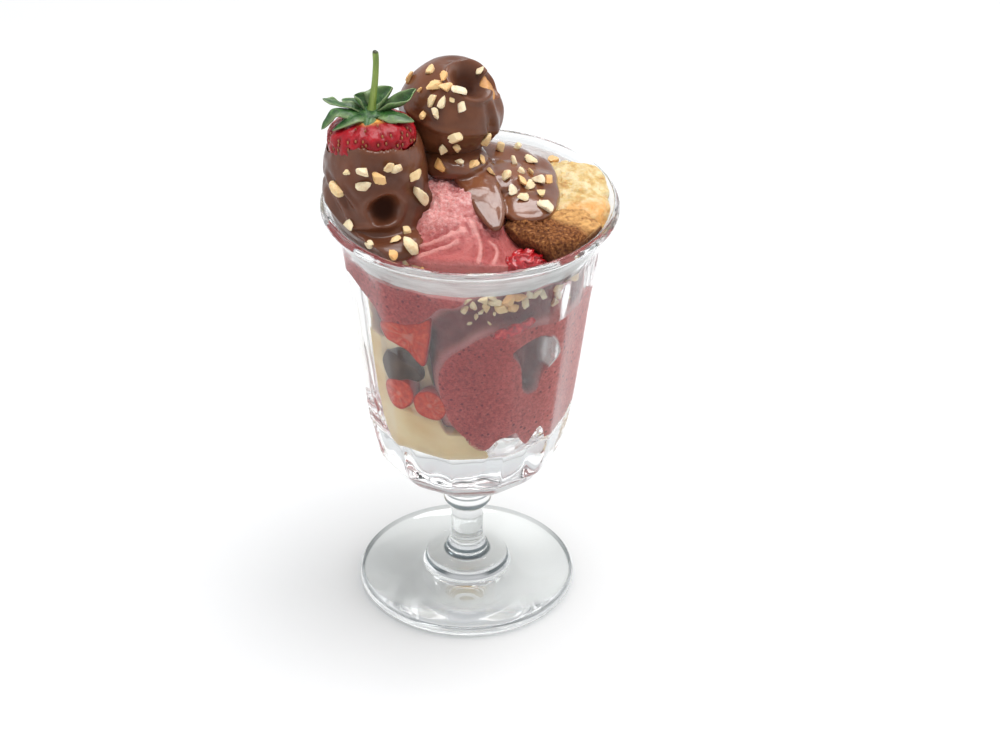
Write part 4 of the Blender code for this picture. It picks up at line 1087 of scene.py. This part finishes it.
def joined(name, pieces, pitch, rounds):
    """One skin over overlapping pieces: remade from cubes of the given pitch in mm, then eased
    so that the creases between the pieces round off. Its object is the first piece's."""
    first = pieces[0]
    for other in pieces[1:]:
        first.data = join_meshes(first.data, other.data)
        bpy.data.objects.remove(other)
    cubes = first.modifiers.new("cubes", "REMESH")
    cubes.mode = "VOXEL"
    cubes.voxel_size = pitch * MM
    ease = first.modifiers.new("ease", "SMOOTH")
    ease.factor = 0.5
    ease.iterations = rounds
    first.data = bpy.data.meshes.new_from_object(
        first.evaluated_get(bpy.context.evaluated_depsgraph_get()))
    first.modifiers.clear()
    first.data.shade_smooth()
    first.name = name
    first.data.name = name
    return first


def join_meshes(one, two):
    """Mesh that holds the points and faces of two meshes."""
    points = [np.empty(len(mesh.vertices) * 3) for mesh in (one, two)]
    for mesh, flat in zip((one, two), points):
        mesh.vertices.foreach_get("co", flat)
    faces = [list(face.vertices) for face in one.polygons]
    shift = len(one.vertices)
    faces += [[corner + shift for corner in face.vertices] for face in two.polygons]
    both = bpy.data.meshes.new(one.name)
    both.from_pydata(np.concatenate(points).reshape(-1, 3).tolist(), [], faces)
    return both


def put_points(thing, points):
    """Moves a piece's points to new places in mm."""
    thing.data.vertices.foreach_set("co", (points * MM).astype(np.float32).ravel())
    thing.data.update()


def push(thing, shift):
    """Moves a piece's points along their own normals by shift mm, one value for each point."""
    normals = np.empty(len(thing.data.vertices) * 3)
    thing.data.vertex_normals.foreach_get("vector", normals)
    put_points(thing, positions(thing) + normals.reshape(-1, 3) * np.asarray(shift)[:, None])


def coat_surface():
    """Rings down the berry's axis at the coat's own radii, up to a wavy edge.

    The edge lies a fifth of the way down, and at the front a bell curve lifts it by 3.4 mm.
    """
    turn = 2.0 * np.pi * np.arange(120) / 120
    part, radius = through(COAT_SHAPE, 6).T[:, ::-1, None]
    front = np.exp(-((turn - math.radians(102.0)) / math.radians(34.0)) ** 2)
    edge = 0.195 - 0.078 * front + 0.007 * np.sin(5.0 * turn) + 0.006 * np.sin(9.0 * turn + 1.0)
    along = edge + (1.04 - edge) * part
    out = radius + 0.4 * np.sin(2.0 * turn + 6.0 * part)
    return within_glass(round_berry(along, turn, out), 0.2)


def cushion(unit, middle, half, power, bump, size, seed, lean=0.0):
    """Lump of poured chocolate: a superellipsoid of half sizes half that leans down to the
    right by lean degrees, its skin raised by up to bump mm by a cloud."""
    c, s = math.cos(math.radians(lean)), math.sin(math.radians(lean))
    axes = np.array([[c, 0.0, -s], [0.0, 1.0, 0.0], [s, 0.0, c]])
    points = np.array(middle) + (squared(unit, power) * half) @ axes
    return points + unit * (bump * cloud(points, size, seed))[..., None]


def pool_shape(unit):
    """Flat cushion of chocolate round the berry's foot, its edge uneven by 1 mm."""
    return within_glass(cushion(unit, POOL, POOL_HALF, 2.4, 1.0, 9.0, 31), 0.2)


def ear_shape(unit):
    """Lobe at the right of the coat, over the ice cream."""
    return EAR + unit * EAR_HALF


def chocolate_coat():
    """Coat, pool and lobe as one skin, then dented at the front and rippled.

    The dent is 2.6 mm deep and falls off as exp(-(d/4.6)^6), with a low rim round it. Drag
    ripples run down from the left in sines 4.6 mm apart, bent by a slow cloud, and one fold
    sags over the pool in front. Gives the piece and how deep in the dent each point lies.
    """
    coat = skin("coat", coat_surface(), BERRY_TOP + 1.06 * BERRY_LENGTH * BERRY_DOWN,
                BERRY_TOP + 0.2 * BERRY_LENGTH * BERRY_DOWN)
    coat = joined("strawberry_coat", [coat, blob("pool", 40, 90, pool_shape),
                                      blob("ear", 24, 40, ear_shape)], 0.42, 9)
    points = positions(coat)
    away = np.linalg.norm((points - DENT) * (1.05, 0.7, 1.12), axis=1) \
        + 0.7 * cloud(points, 5.0, 36)
    sunk = np.exp(-(away / 4.6) ** 6)
    dent = -2.6 * sunk + 0.6 * np.exp(-((away - 6.2) / 1.1) ** 2)
    bend = 3.0 * cloud(points, 11.0, 33)
    drag = (points @ (0.72, -0.1, 0.69)) + bend
    left = smooth(-points[:, 0], 33.0, 41.0) * smooth(points[:, 2], 150.0, 156.0) \
        * (1.0 - smooth(points[:, 2], 163.0, 170.0))
    ripples = 0.8 * left * np.sin(drag * 2.0 * math.pi / 4.6)
    fold = 1.1 * np.exp(-((points[:, 2] - 155.6 - 0.16 * points[:, 0] - 4.6) / 1.0) ** 2) \
        * smooth(-points[:, 1], 19.0, 23.0) * (1.0 - smooth(points[:, 0], -28.0, -22.0))
    waves = 0.9 * cloud(points, 8.0, 34) + 0.35 * cloud(points, 3.0, 35)
    push(coat, dent + ripples + fold + waves)
    put_points(coat, within_glass(positions(coat), 0.2))
    return coat, sunk


def chocolate_finish(name, gloss, milk, shade, wet=0.25):
    """Milk chocolate clouded from milk to shade, under an oily sheen as strong as wet says; in
    a dent painted shade makes it darker, and it is duller."""
    brown = Finish(name, Coat_Roughness=0.10, Subsurface_Weight=0.08, Subsurface_Scale=0.002,
                   Subsurface_Radius=(1.0, 0.5, 0.3))
    cloudy = brown.ramp(brown.noise(13.0, 4.0, 0.5), (0.3, shade), (0.7, milk))
    # Painted shade in a dent, read from the stored shadow value.
    brown.set("Base Color", brown.blend(brown.math("MULTIPLY", brown.stored("shadow"), 0.92),
                                        cloudy, DEEP_SHADE))
    brown.set("Roughness", brown.step(brown.stored("shadow"), 0.1, 0.9, gloss, gloss + 0.3))
    brown.set("Specular IOR Level", brown.step(brown.stored("shadow"), 0.2, 0.8, 0.3, 0.05))
    brown.set("Coat Weight", brown.step(brown.stored("shadow"), 0.2, 0.8, wet, 0.0))
    brown.relief((brown.noise(5.0, 2.0), 0.25), (brown.noise(1.6, 3.0), 0.08))
    return brown


coat, coat_dent = chocolate_coat()
paint(coat, "shadow", coat_dent)
dress("strawberry_chocolate", chocolate_finish("chocolate_coating", 0.34, MILK, SHADE), coat)


# ---------------------------------------------------------------- strawberry leaves and stem
# The berry's green cap: ten pointed leaves of different size, creased along the middle and
# curled, round a long bent stem.

# Each leaf: a point halfway along its middle, its tip, its width, and how far it cups upward
LEAVES = (((-41.2, -7.0, 187.4), (-46.2, -6.0, 188.6), 3.4, 0.35),
          ((-42.6, -10.8, 186.6), (-46.4, -12.6, 181.2), 5.4, -0.35),
          ((-34.6, -5.6, 187.4), (-36.4, -4.2, 189.0), 5.0, 1.0),
          ((-27.2, -4.6, 187.8), (-24.4, -1.8, 190.6), 7.0, 1.1),
          ((-21.6, -6.4, 187.0), (-17.0, -4.2, 191.4), 4.6, 0.9),
          ((-23.4, -11.2, 186.2), (-17.4, -13.0, 184.6), 6.2, -0.2),
          ((-36.8, -12.4, 185.6), (-43.0, -15.2, 182.2), 5.6, -0.15),
          ((-31.6, -12.8, 185.4), (-32.4, -16.6, 183.2), 3.8, -0.1),
          ((-30.0, -3.4, 186.4), (-29.0, 1.2, 186.2), 5.0, 0.2),
          ((-36.2, -3.2, 186.0), (-40.6, 0.8, 184.8), 5.0, 0.2))
# Points up the stem, each with its radius
STEM = ((-31.0, -8.0, 183.6, 1.9), (-30.9, -8.0, 185.6, 1.6), (-30.7, -8.0, 187.6, 1.25),
        (-30.3, -8.0, 191.0, 1.1), (-29.7, -8.0, 196.5, 1.0), (-29.4, -8.0, 202.0, 0.95),
        (-29.5, -8.0, 205.4, 0.95), (-29.6, -8.0, 206.2, 0.6))
CAP = BERRY_TOP + (1.0, 0.0, 1.1)
LEAF_POINTS = 13             # from edge to edge of a blade


def leaf_surface(middle, tip, width, cup, seed):
    """Rings across a leaf, the upper skin out and the lower one 0.45 mm under it back.

    The midrib runs from the cap through its middle to the tip. The width swells and tapers as
    sin^0.8 of the way along. The blade is level across and cups by cup times its half width, as
    the square of the way out, with a waved edge and a sunk vein. Gives the rings and two ends.
    """
    outward = np.array([middle[0] - CAP[0], middle[1] - CAP[1], 0.0])
    start = CAP + 2.0 * outward / math.hypot(outward[0], outward[1])
    rib = through([start, middle, tip], 15)[:-1]
    ahead = np.gradient(rib, axis=0)
    across = np.cross(ahead, (0.0, 0.0, 1.0))
    across /= np.linalg.norm(across, axis=1, keepdims=True)
    up = np.cross(across, ahead)
    up /= np.linalg.norm(up, axis=1, keepdims=True)
    part = np.linspace(0.0, 0.985, len(rib))[:, None]
    half = 0.55 * width * np.sin(math.pi * (0.16 + 0.83 * part)) ** 0.8 + 0.04
    side = np.linspace(-1.0, 1.0, LEAF_POINTS)[None, :]
    wave = 1.1 * cloud(np.stack([9.0 * part + 0.0 * side, 2.0 * side + 0.0 * part,
                                 0.0 * part * side], -1), 2.2, seed)
    lift = cup * half * side ** 2 + wave * np.abs(side) ** 1.5 * half / half.max() \
        - 0.16 * np.exp(-(side / 0.12) ** 2)
    top = rib[:, None] + (half * side)[..., None] * across[:, None] \
        + lift[..., None] * up[:, None]
    under = top[:, ::-1] - 0.45 * up[:, None]
    root = rib[0] - 1.4 * ahead[0] / np.linalg.norm(ahead[0])
    return np.concatenate([top, under], 1), root, np.asarray(tip) - (0.0, 0.0, 0.2)


def tube(line, sides, ridge=0.0):
    """Level rings round a line of (x, y, z, radius) points, and the smooth line itself; ridge
    makes the section angular."""
    line = through(line, 6)
    turn = 2.0 * np.pi * np.arange(sides) / sides
    radius = line[:, 3:] * (1.0 + ridge * np.cos(5.0 * turn))
    return np.stack([line[:, :1] + radius * np.cos(turn), line[:, 1:2] + radius * np.sin(turn),
                     line[:, 2:3] + 0.0 * radius], -1), line


def leaf_finish():
    """Fresh green leaf, clouded, paler and yellower to the edges."""
    green = Finish("strawberry_leaf", Roughness=0.42, Subsurface_Weight=0.1,
                   Subsurface_Scale=0.001, Subsurface_Radius=(0.4, 1.0, 0.3))
    blade = green.ramp(green.noise(2.0, 4.0, 0.65), (0.3, (0.008, 0.036, 0.008)),
                       (0.55, (0.030, 0.105, 0.020)), (0.8, (0.16, 0.29, 0.08)))
    green.set("Base Color", green.blend(green.math("MULTIPLY", green.stored("pale"), 0.6), blade,
                                        (0.34, 0.42, 0.20)))
    green.relief((green.noise(0.7, 3.0), 0.15))
    return green


def stem_finish():
    """Yellow-green stem, streaked along its length, with a dark dry cut end."""
    stalk = Finish("strawberry_stem", Roughness=0.4, Subsurface_Weight=0.15,
                   Subsurface_Scale=0.001, Subsurface_Radius=(0.6, 1.0, 0.3))
    streaks = stalk.ramp(stalk.noise(1.6, 3.0, stretch=(1.0, 1.0, 0.2)),
                         (0.3, (0.085, 0.170, 0.020)), (0.7, (0.30, 0.40, 0.085)))
    stalk.set("Base Color", stalk.blend(stalk.stored("cut"), streaks, (0.045, 0.050, 0.018)))
    stalk.relief((stalk.noise(0.5, 2.0, stretch=(1.0, 1.0, 0.15)), 0.1))
    return stalk


leaves = []
for number, (middle, tip, width, cup) in enumerate(LEAVES):
    grid, root, end = leaf_surface(middle, tip, width, cup, 100 + number)
    leaf = skin(f"leaf_{number + 1}", grid, root, end)
    outward = np.tile(np.abs(np.linspace(-1.0, 1.0, LEAF_POINTS)), 2)
    paint(leaf, "pale", with_poles(np.broadcast_to(outward ** 3, grid.shape[:2])))
    leaves.append(leaf)
cap = blob("leaf_cap", 14, 28, lambda unit: CAP + unit * (4.4, 4.4, 1.1))
stem_grid, stem_line = tube(STEM, 20, 0.05)
stem = skin("berry_stem", stem_grid, stem_line[0, :3] - (0.0, 0.0, 0.2),
            stem_line[-1, :3] + (0.0, 0.0, 0.15))
paint(stem, "cut", smooth(positions(stem)[:, 2], 205.4, 206.0))
dress("calyx", leaf_finish(), *leaves, cap)
dress("calyx", stem_finish(), stem)


# ---------------------------------------------------------------- cream puff
# Round golden choux bun dipped in the same chocolate. The chocolate stands in a rim along the
# top, sinks into a dent at the upper right, and has slid off one spot on the right.

PUFF_CENTRE = np.array([-6.5, 8.0, 178.4])
PUFF_RADIUS = 14.6
PUFF_COAT = 1.5
PUFF_DENT = (50.0, 57.0)     # azimuth and elevation
PUFF_MILK, PUFF_SHADE = (0.200, 0.068, 0.027), (0.100, 0.032, 0.014)


def towards(azimuth, elevation):
    """Unit vector at an azimuth from the front and an elevation from the level."""
    return polar(math.cos(math.radians(elevation)), azimuth, math.sin(math.radians(elevation)))


def apart(unit, azimuth, elevation):
    """Angle in degrees between unit vectors and a direction."""
    return np.degrees(np.arccos(np.clip(unit @ towards(azimuth, elevation), -1.0, 1.0)))


def puff_dent(unit):
    """Dent of the bun and its shell: 4.8 mm deep as exp(-(angle/22)^6), with a raised rim."""
    away = apart(unit, *PUFF_DENT)
    return -4.8 * np.exp(-(away / 22.0) ** 6) + 0.9 * np.exp(-((away - 29.0) / 4.0) ** 2)


def puff_shell_shape(unit):
    """Shell 16.1 mm out, uneven by slow clouds, with the dent, a hollow brow and folds.

    The bare spot is sunk 2.6 mm with a sharp edge, which lets the bun show. Folds run down the
    right side as sines of the azimuth, over a swelling, and a seam runs level round the front.
    """
    points = PUFF_CENTRE + unit * PUFF_RADIUS
    brow = -0.8 * np.exp(-((apart(unit, 165.0, 86.0) - 6.0) / 8.0) ** 2)
    bare = -2.6 * (1.0 - smooth(apart(unit, 88.0, 31.0), 14.5, 17.0))
    azimuth = np.degrees(np.arctan2(unit[..., 0], -unit[..., 1]))
    right = smooth(azimuth, 38.0, 60.0) * (1.0 - smooth(azimuth, 95.0, 120.0)) \
        * smooth(unit[..., 2], -0.75, -0.4) * (1.0 - smooth(unit[..., 2], 0.25, 0.5))
    folds = 0.85 * right * np.sin(np.radians(azimuth * 13.0) + 2.0 * cloud(points, 8.0, 46))
    seam = 0.6 * np.exp(-((unit[..., 2] + 0.02 + 0.004 * azimuth) / 0.07) ** 2) \
        * (1.0 - smooth(np.abs(azimuth), 60.0, 90.0))
    waves = 0.45 * cloud(points, 12.0, 42) + 0.3 * cloud(points, 5.0, 47)
    swell = 1.3 * np.exp(-(apart(unit, 78.0, -14.0) / 14.0) ** 2) \
        - 0.9 * np.exp(-(apart(unit, 85.0, 12.0) / 12.0) ** 2)
    radius = PUFF_RADIUS + PUFF_COAT + puff_dent(unit) + brow + bare + folds + seam + swell + waves
    return PUFF_CENTRE + unit * radius[..., None]


def puff_shape(unit):
    """Choux bun: 14.6 mm, with low blisters from clouds of 5 and 2 mm."""
    points = PUFF_CENTRE + unit * PUFF_RADIUS
    blisters = 0.35 * cloud(points, 5.0, 44) + 0.12 * cloud(points, 2.0, 45)
    return points + unit * (blisters + puff_dent(unit))[..., None]


def choux_finish():
    """Baked choux: golden, browner on its blisters."""
    bun = Finish("baked_choux", Roughness=0.5)
    bun.set("Base Color", bun.ramp(bun.noise(3.5, 4.0, 0.6), (0.3, (0.48, 0.20, 0.055)),
                                   (0.6, (0.68, 0.34, 0.11)), (0.8, (0.80, 0.50, 0.22))))
    bun.relief((bun.noise(1.0, 3.0), 0.2))
    return bun


puff = blob("choux_bun", 90, 160, puff_shape)
dress("cream_puff", choux_finish(), puff)
puff_shell = blob("puff_coating", 200, 360, puff_shell_shape)
outward = positions(puff_shell) - PUFF_CENTRE
outward /= np.linalg.norm(outward, axis=1, keepdims=True)
paint(puff_shell, "shadow", np.exp(-(apart(outward, *PUFF_DENT) / 21.5) ** 4))
dress("puff_chocolate", chocolate_finish("puff_coating", 0.32, PUFF_MILK, PUFF_SHADE), puff_shell)


# ---------------------------------------------------------------- chocolate sauce
# Warm chocolate poured under the puff: a ribbon that runs down the scoop with rounded, standing
# edges, and a broad lobe over the cheesecake. It is wetter and glossier than the coats.

# The ribbon's middle line, its half width and its half thickness
RIBBON = ((-4.0, 9.0, 160.0, 9.0, 2.2), (-0.8, 0.0, 161.4, 7.8, 2.0),
          (2.2, -8.0, 160.0, 6.4, 2.0), (4.7, -14.5, 158.3, 5.7, 2.0),
          (6.5, -20.0, 156.3, 4.7, 1.9), (7.6, -24.2, 154.7, 3.1, 1.7),
          (8.2, -26.8, 153.9, 1.5, 1.1))
# Lobe over the cheesecake, bed under the puff, sheet from the ribbon's upper half to the lobe,
# and the pool that climbs the puff in front: rows and columns, then what cushion() takes
POURED = (("lobe", 40, 90, (18.0, -2.0, 154.6), (10.6, 21.0, 3.6), 2.4, 0.7, 8.0, 61),
          ("bed", 40, 80, (7.0, 10.5, 157.6), (17.0, 9.5, 4.6), 2.4, 0.5, 8.0, 62, 12.0),
          ("sheet", 30, 60, (9.5, -1.5, 158.2), (9.5, 9.0, 3.3), 2.2, 0.4, 5.0, 66),
          ("climb", 30, 60, (-5.5, 1.5, 163.6), (11.0, 11.5, 5.4), 2.2, 0.8, 5.0, 67))
SAUCE_MILK, SAUCE_SHADE = (0.225, 0.078, 0.034), (0.130, 0.042, 0.020)


def ribbon_surface():
    """Section carried along the ribbon's line: an oval whose two edges are raised by 0.5 mm."""
    line = through(RIBBON, 14)
    ahead = np.gradient(line[:, :3], axis=0)
    ahead /= np.linalg.norm(ahead, axis=1, keepdims=True)
    across = np.cross(ahead, (0.0, 0.0, 1.0))
    across /= np.linalg.norm(across, axis=1, keepdims=True)
    up = np.cross(across, ahead)
    turn = 2.0 * np.pi * np.arange(64) / 64
    raised = 0.5 * np.exp(-((np.abs(np.cos(turn)) - 0.86) / 0.14) ** 2) * (np.sin(turn) > 0.0)
    return (line[:, None, :3] + (line[:, 3:4] * np.cos(turn))[..., None] * across[:, None]
            + (line[:, 4:5] * np.sin(turn) + raised)[..., None] * up[:, None])


ribbon = skin("ribbon", ribbon_surface(), (-5.0, 11.5, 160.0), (8.4, -27.4, 153.6))
lumps = [blob(name, rows, columns, lambda unit: cushion(unit, *lump))
         for name, rows, columns, *lump in POURED]
sauce = joined("poured_sauce", [ribbon, *lumps], 0.4, 7)
places = positions(sauce)
push(sauce, 0.25 * cloud(places, 6.0, 64) + 0.1 * cloud(places, 2.6, 65))
dress("chocolate_sauce",
      chocolate_finish("poured_chocolate", 0.22, SAUCE_MILK, SAUCE_SHADE, 0.7), sauce)


# ---------------------------------------------------------------- chopped nuts
# Chopped blanched almonds and peanuts: flat-sided chips with blunt corners, from cream to
# toasted orange, scattered on the food and caught in a band between the ice cream and the glass.

VIEWPOINT = np.array([0.0, -828.0, 627.0])
# Loose nuts as x, z and size: each lies where the line from the viewpoint through the point
# (x, 0, z) of the upright plane across the cup meets the food
NUTS_ON_PUFF = ((-8.2, 201.6, 2.3), (-18.8, 192.7, 3.1), (-12.5, 195.6, 2.6), (-8.1, 193.2, 3.5),
                (-11.3, 189.7, 3.8), (-7.5, 189.4, 3.5), (-4.1, 188.0, 3.5), (-12.2, 185.1, 3.5),
                (-8.8, 184.4, 2.8), (-3.1, 182.7, 3.1), (-14.7, 179.7, 3.1), (-10.9, 180.1, 3.1),
                (-4.6, 172.7, 3.8), (4.9, 171.7, 3.5), (-8.4, 168.0, 3.8), (-4.6, 168.4, 3.1),
                (2.7, 195.8, 2.4), (-15.8, 188.6, 1.8), (-5.9, 185.2, 1.6))
NUTS_ON_BERRY = ((-42.0, 153.4, 3.8), (-39.2, 158.9, 2.0), (-33.8, 159.3, 3.5),
                 (-33.9, 153.5, 3.8), (-29.1, 156.8, 4.5), (-25.8, 161.2, 4.2),
                 (-23.3, 160.5, 3.5), (-18.2, 157.7, 4.6), (-16.7, 150.7, 4.6),
                 (-38.8, 139.0, 3.6), (-20.2, 137.3, 2.8), (-31.9, 132.0, 3.1),
                 (-19.3, 131.5, 4.5), (-24.1, 133.5, 2.8), (-25.4, 128.3, 2.8))
NUTS_ON_SAUCE = ((-3.6, 162.9, 2.4), (1.2, 161.9, 2.8), (6.6, 159.0, 2.4), (9.3, 167.4, 3.5),
                 (13.5, 163.1, 2.8), (15.8, 159.9, 2.8), (15.0, 168.2, 2.8), (20.8, 166.8, 3.8),
                 (18.9, 163.5, 3.1), (11.7, 157.6, 3.1), (16.2, 156.2, 3.1), (21.6, 155.9, 3.5),
                 (19.1, 153.7, 3.5), (13.7, 152.2, 3.5), (16.9, 150.0, 3.1), (22.7, 151.1, 3.1),
                 (24.0, 146.7, 4.5), (24.8, 156.7, 3.1), (19.0, 159.2, 2.8), (-9.6, 161.8, 3.5),
                 (3.7, 163.7, 2.4), (26.5, 163.6, 3.5))
NUTS_ON_ICE = ((-20.0, 124.6, 3.4), (-17.2, 123.9, 3.0), (-15.2, 122.9, 2.6), (-4.0, 158.6, 1.6))
# Azimuth, height and size of each nut against the glass
NUTS_AT_GLASS = ((-1.0, 136.1, 3.3), (-2.8, 131.9, 3.0), (1.6, 133.7, 2.8), (6.0, 136.0, 3.8),
                 (8.0, 132.9, 3.0), (10.5, 137.3, 3.4), (13.0, 134.3, 3.9), (15.7, 132.1, 3.2),
                 (18.3, 134.7, 3.9), (21.0, 131.3, 3.0), (23.0, 135.2, 3.9), (26.6, 132.4, 3.3),
                 (28.0, 135.4, 3.6), (32.0, 135.0, 3.5), (36.0, 133.6, 2.8), (47.0, 133.0, 3.2),
                 (50.0, 128.5, 3.0), (45.0, 127.3, 2.8), (57.0, 134.0, 3.2), (3.0, 129.5, 1.6),
                 (0.0, 127.1, 1.3), (9.5, 126.9, 1.2), (5.5, 131.2, 1.6), (12.0, 130.4, 1.5))


def nut_chips(name, spots, seed):
    """One piece of chips at (place, outward normal, size) spots, each with its toast painted on.

    A chip is the body between eight seeded planes: along each unit vector its reach is
    (sum over planes of (max(n.u, 0)/d)^30)^(-1/30), which leaves flat sides and blunt edges.
    """
    draw = np.random.default_rng(seed)
    rows, columns = 11, 20
    flat = np.vstack([ball(rows, columns).reshape(-1, 3), [[0.0, 0.0, -1.0], [0.0, 0.0, 1.0]]])
    bodies, toast = [], []
    for place, normal, size in spots:
        planes = draw.normal(size=(8, 3))
        planes[:3] = -planes[3:6] + draw.normal(0.0, 0.35, (3, 3))
        planes /= np.linalg.norm(planes, axis=1, keepdims=True)
        depth = draw.uniform(0.5, 1.0, 8)
        reach = (np.maximum(flat @ planes.T, 0.0) / depth) ** 30
        reach = (reach.sum(-1) + 1e-6) ** (-1.0 / 30.0)
        side = np.cross(normal, draw.normal(size=3))
        side /= np.linalg.norm(side)
        axes = np.array([side, np.cross(normal, side), normal])
        stretch = draw.uniform((0.9, 0.75, 0.6), (1.15, 1.0, 0.8))
        chip = flat * reach[:, None] * stretch * (0.5 * size)
        middle = np.asarray(place) + 0.2 * size * np.asarray(normal)
        bodies.append(within_glass(middle + chip @ axes, 0.05))
        toast.append(np.full(len(flat), draw.uniform()))
    nuts = gathered(name, bodies, rows, columns)
    nuts.data.set_sharp_from_angle(angle=math.radians(32.0))
    paint(nuts, "toast", toast)
    return nuts


def spots_in_sight(marks, things):
    """Where the line from the viewpoint through each (x, 0, z) mark first meets the things."""
    trees = [BVHTree.FromObject(thing, bpy.context.evaluated_depsgraph_get()) for thing in things]
    spots = []
    for x, z, size in marks:
        line = np.array([x, 0.0, z]) - VIEWPOINT
        line /= np.linalg.norm(line)
        hits = [tree.ray_cast(Vector(VIEWPOINT * MM), Vector(line)) for tree in trees]
        hits = [hit for hit in hits if hit[0] is not None]
        if hits:
            place, normal, _, _ = min(hits, key=lambda hit: hit[3])
            spots.append((np.array(place) / MM, np.array(normal), size))
    return spots


def nut_finish():
    """Nut flesh: cream to toasted orange from chip to chip, browner in specks of skin."""
    flesh = Finish("chopped_nut", Roughness=0.5, Subsurface_Weight=0.2, Subsurface_Scale=0.001,
                   Subsurface_Radius=(1.0, 0.7, 0.4))
    base = flesh.ramp(flesh.stored("toast"), (0.0, (0.88, 0.76, 0.54)), (0.55, (0.84, 0.66, 0.38)),
                      (0.8, (0.84, 0.58, 0.28)), (1.0, (0.80, 0.42, 0.14)))
    toasted = flesh.step(flesh.noise(2.2, 4.0, 0.6), 0.52, 0.72, 0.0, 0.55)
    flesh.set("Base Color", flesh.blend(toasted, base, (0.62, 0.32, 0.11)))
    flesh.relief((flesh.noise(0.5, 3.0), 0.08))
    return flesh


nut_flesh = nut_finish()
for name, marks, things, node, seed in (
        ("nuts_on_puff", NUTS_ON_PUFF, [puff_shell, puff], "puff_chocolate", 43),
        ("nuts_on_strawberry", NUTS_ON_BERRY, [coat, ice_cream], "strawberry_chocolate", 33),
        ("nuts_on_sauce", NUTS_ON_SAUCE, [sauce, filling, *biscuit], "chocolate_sauce", 63),
        ("nuts_on_ice_cream", NUTS_ON_ICE, [ice_cream], "strawberry_ice_cream", 81)):
    dress(node, nut_flesh, nut_chips(name, spots_in_sight(marks, things), seed))
spots_at_glass = [(polar(inner_radius(height) - 0.62 * size, azimuth, height),
                   polar(1.0, azimuth, 0.0), size) for azimuth, height, size in NUTS_AT_GLASS]
dress("strawberry_ice_cream", nut_flesh, nut_chips("nuts_at_glass", spots_at_glass, 83))


# ---------------------------------------------------------------- table, light and camera
# White table under soft studio light: a softbox overhead, a weak one on each side, one behind
# that only adds gleams to shiny surfaces, and a sky that is brightest at the horizon. The camera
# looks down on the cup from the front.

CAMERA_PLACE = (0.0, -0.8279, 0.6274)
CAMERA_TURN, CAMERA_DIP, CAMERA_ROLL = -0.7213, 33.273, 0.8887
CAMERA_LENS, CAMERA_SENSOR = 107.37, 36.0


def table_top():
    """White table: a square sheet 0.3 mm under the foot."""
    half = 3000.0
    mesh = bpy.data.meshes.new("table")
    mesh.from_pydata([(x * MM * half, y * MM * half, -0.0003) for x, y in
                      ((-1, -1), (1, -1), (1, 1), (-1, 1))], [], [(0, 1, 2, 3)])
    table = bpy.data.objects.new("table", mesh)
    bpy.context.scene.collection.objects.link(table)
    white = Finish("white_table", Roughness=0.75, Specular_IOR_Level=0.2)
    white.set("Base Color", white.ramp(white.noise(240.0), (0.0, (0.84, 0.84, 0.835)),
                                       (1.0, (0.86, 0.86, 0.86))))
    white.put_on(table)


def softbox(name, place, aim, size, power):
    """Rectangular area light at a place in metres, turned to face the aim."""
    light = bpy.data.lights.new(name, "AREA")
    light.shape = "RECTANGLE"
    light.size, light.size_y = size
    light.energy = power
    lamp = bpy.data.objects.new(name, light)
    lamp.location = place
    lamp.rotation_euler = (Vector(aim) - Vector(place)).to_track_quat("-Z", "Y").to_euler()
    bpy.context.scene.collection.objects.link(lamp)
    return lamp


def studio():
    """Sky, softboxes and the camera, with enough bounces for light to cross the glass."""
    sky = bpy.data.worlds.new("studio")
    sky.use_nodes = True
    nodes, link = sky.node_tree.nodes, sky.node_tree.links.new
    height = nodes.new("ShaderNodeSeparateXYZ")
    link(nodes.new("ShaderNodeTexCoord").outputs["Generated"], height.inputs["Vector"])
    bands = nodes.new("ShaderNodeValToRGB")
    link(height.outputs["Z"], bands.inputs["Fac"])
    bands.color_ramp.elements[0].color = (0.74, 0.76, 0.78, 1.0)
    bands.color_ramp.elements[1].color = (0.52, 0.53, 0.55, 1.0)
    bands.color_ramp.elements[0].position = 0.30
    bands.color_ramp.elements[1].position = 0.62
    link(bands.outputs["Color"], nodes["Background"].inputs["Color"])
    bpy.context.scene.world = sky
    softbox("key", (0.14, 0.02, 1.25), (0.0, 0.0, 0.08), (0.7, 0.7), 11.0)
    softbox("right", (1.0, 0.25, 0.55), (0.0, 0.0, 0.12), (1.3, 1.3), 3.0)
    softbox("left", (-1.0, -0.3, 0.6), (0.0, 0.0, 0.12), (1.3, 1.3), 3.0)
    gleam = softbox("behind", (0.10, 0.75, 1.40), (0.0, 0.0, 0.15), (0.9, 0.35), 7.0)
    gleam.visible_diffuse = gleam.visible_transmission = False
    camera = bpy.data.objects.new("camera", bpy.data.cameras.new("camera"))
    camera.data.lens = CAMERA_LENS
    camera.data.sensor_width = CAMERA_SENSOR
    camera.data.clip_start = 0.05
    camera.matrix_world = (Matrix.Translation(CAMERA_PLACE)
                           @ Matrix.Rotation(math.radians(CAMERA_TURN), 4, "Z")
                           @ Matrix.Rotation(math.radians(90.0 - CAMERA_DIP), 4, "X")
                           @ Matrix.Rotation(math.radians(CAMERA_ROLL), 4, "Z"))
    bpy.context.scene.collection.objects.link(camera)
    bpy.context.scene.camera = camera
    bpy.context.scene.view_settings.view_transform = "Standard"
    bpy.context.scene.cycles.transparent_max_bounces = 24
    bpy.context.scene.cycles.max_bounces = 32
    bpy.context.scene.cycles.glossy_bounces = 24
    bpy.context.scene.cycles.transmission_bounces = 32


table_top()
studio()
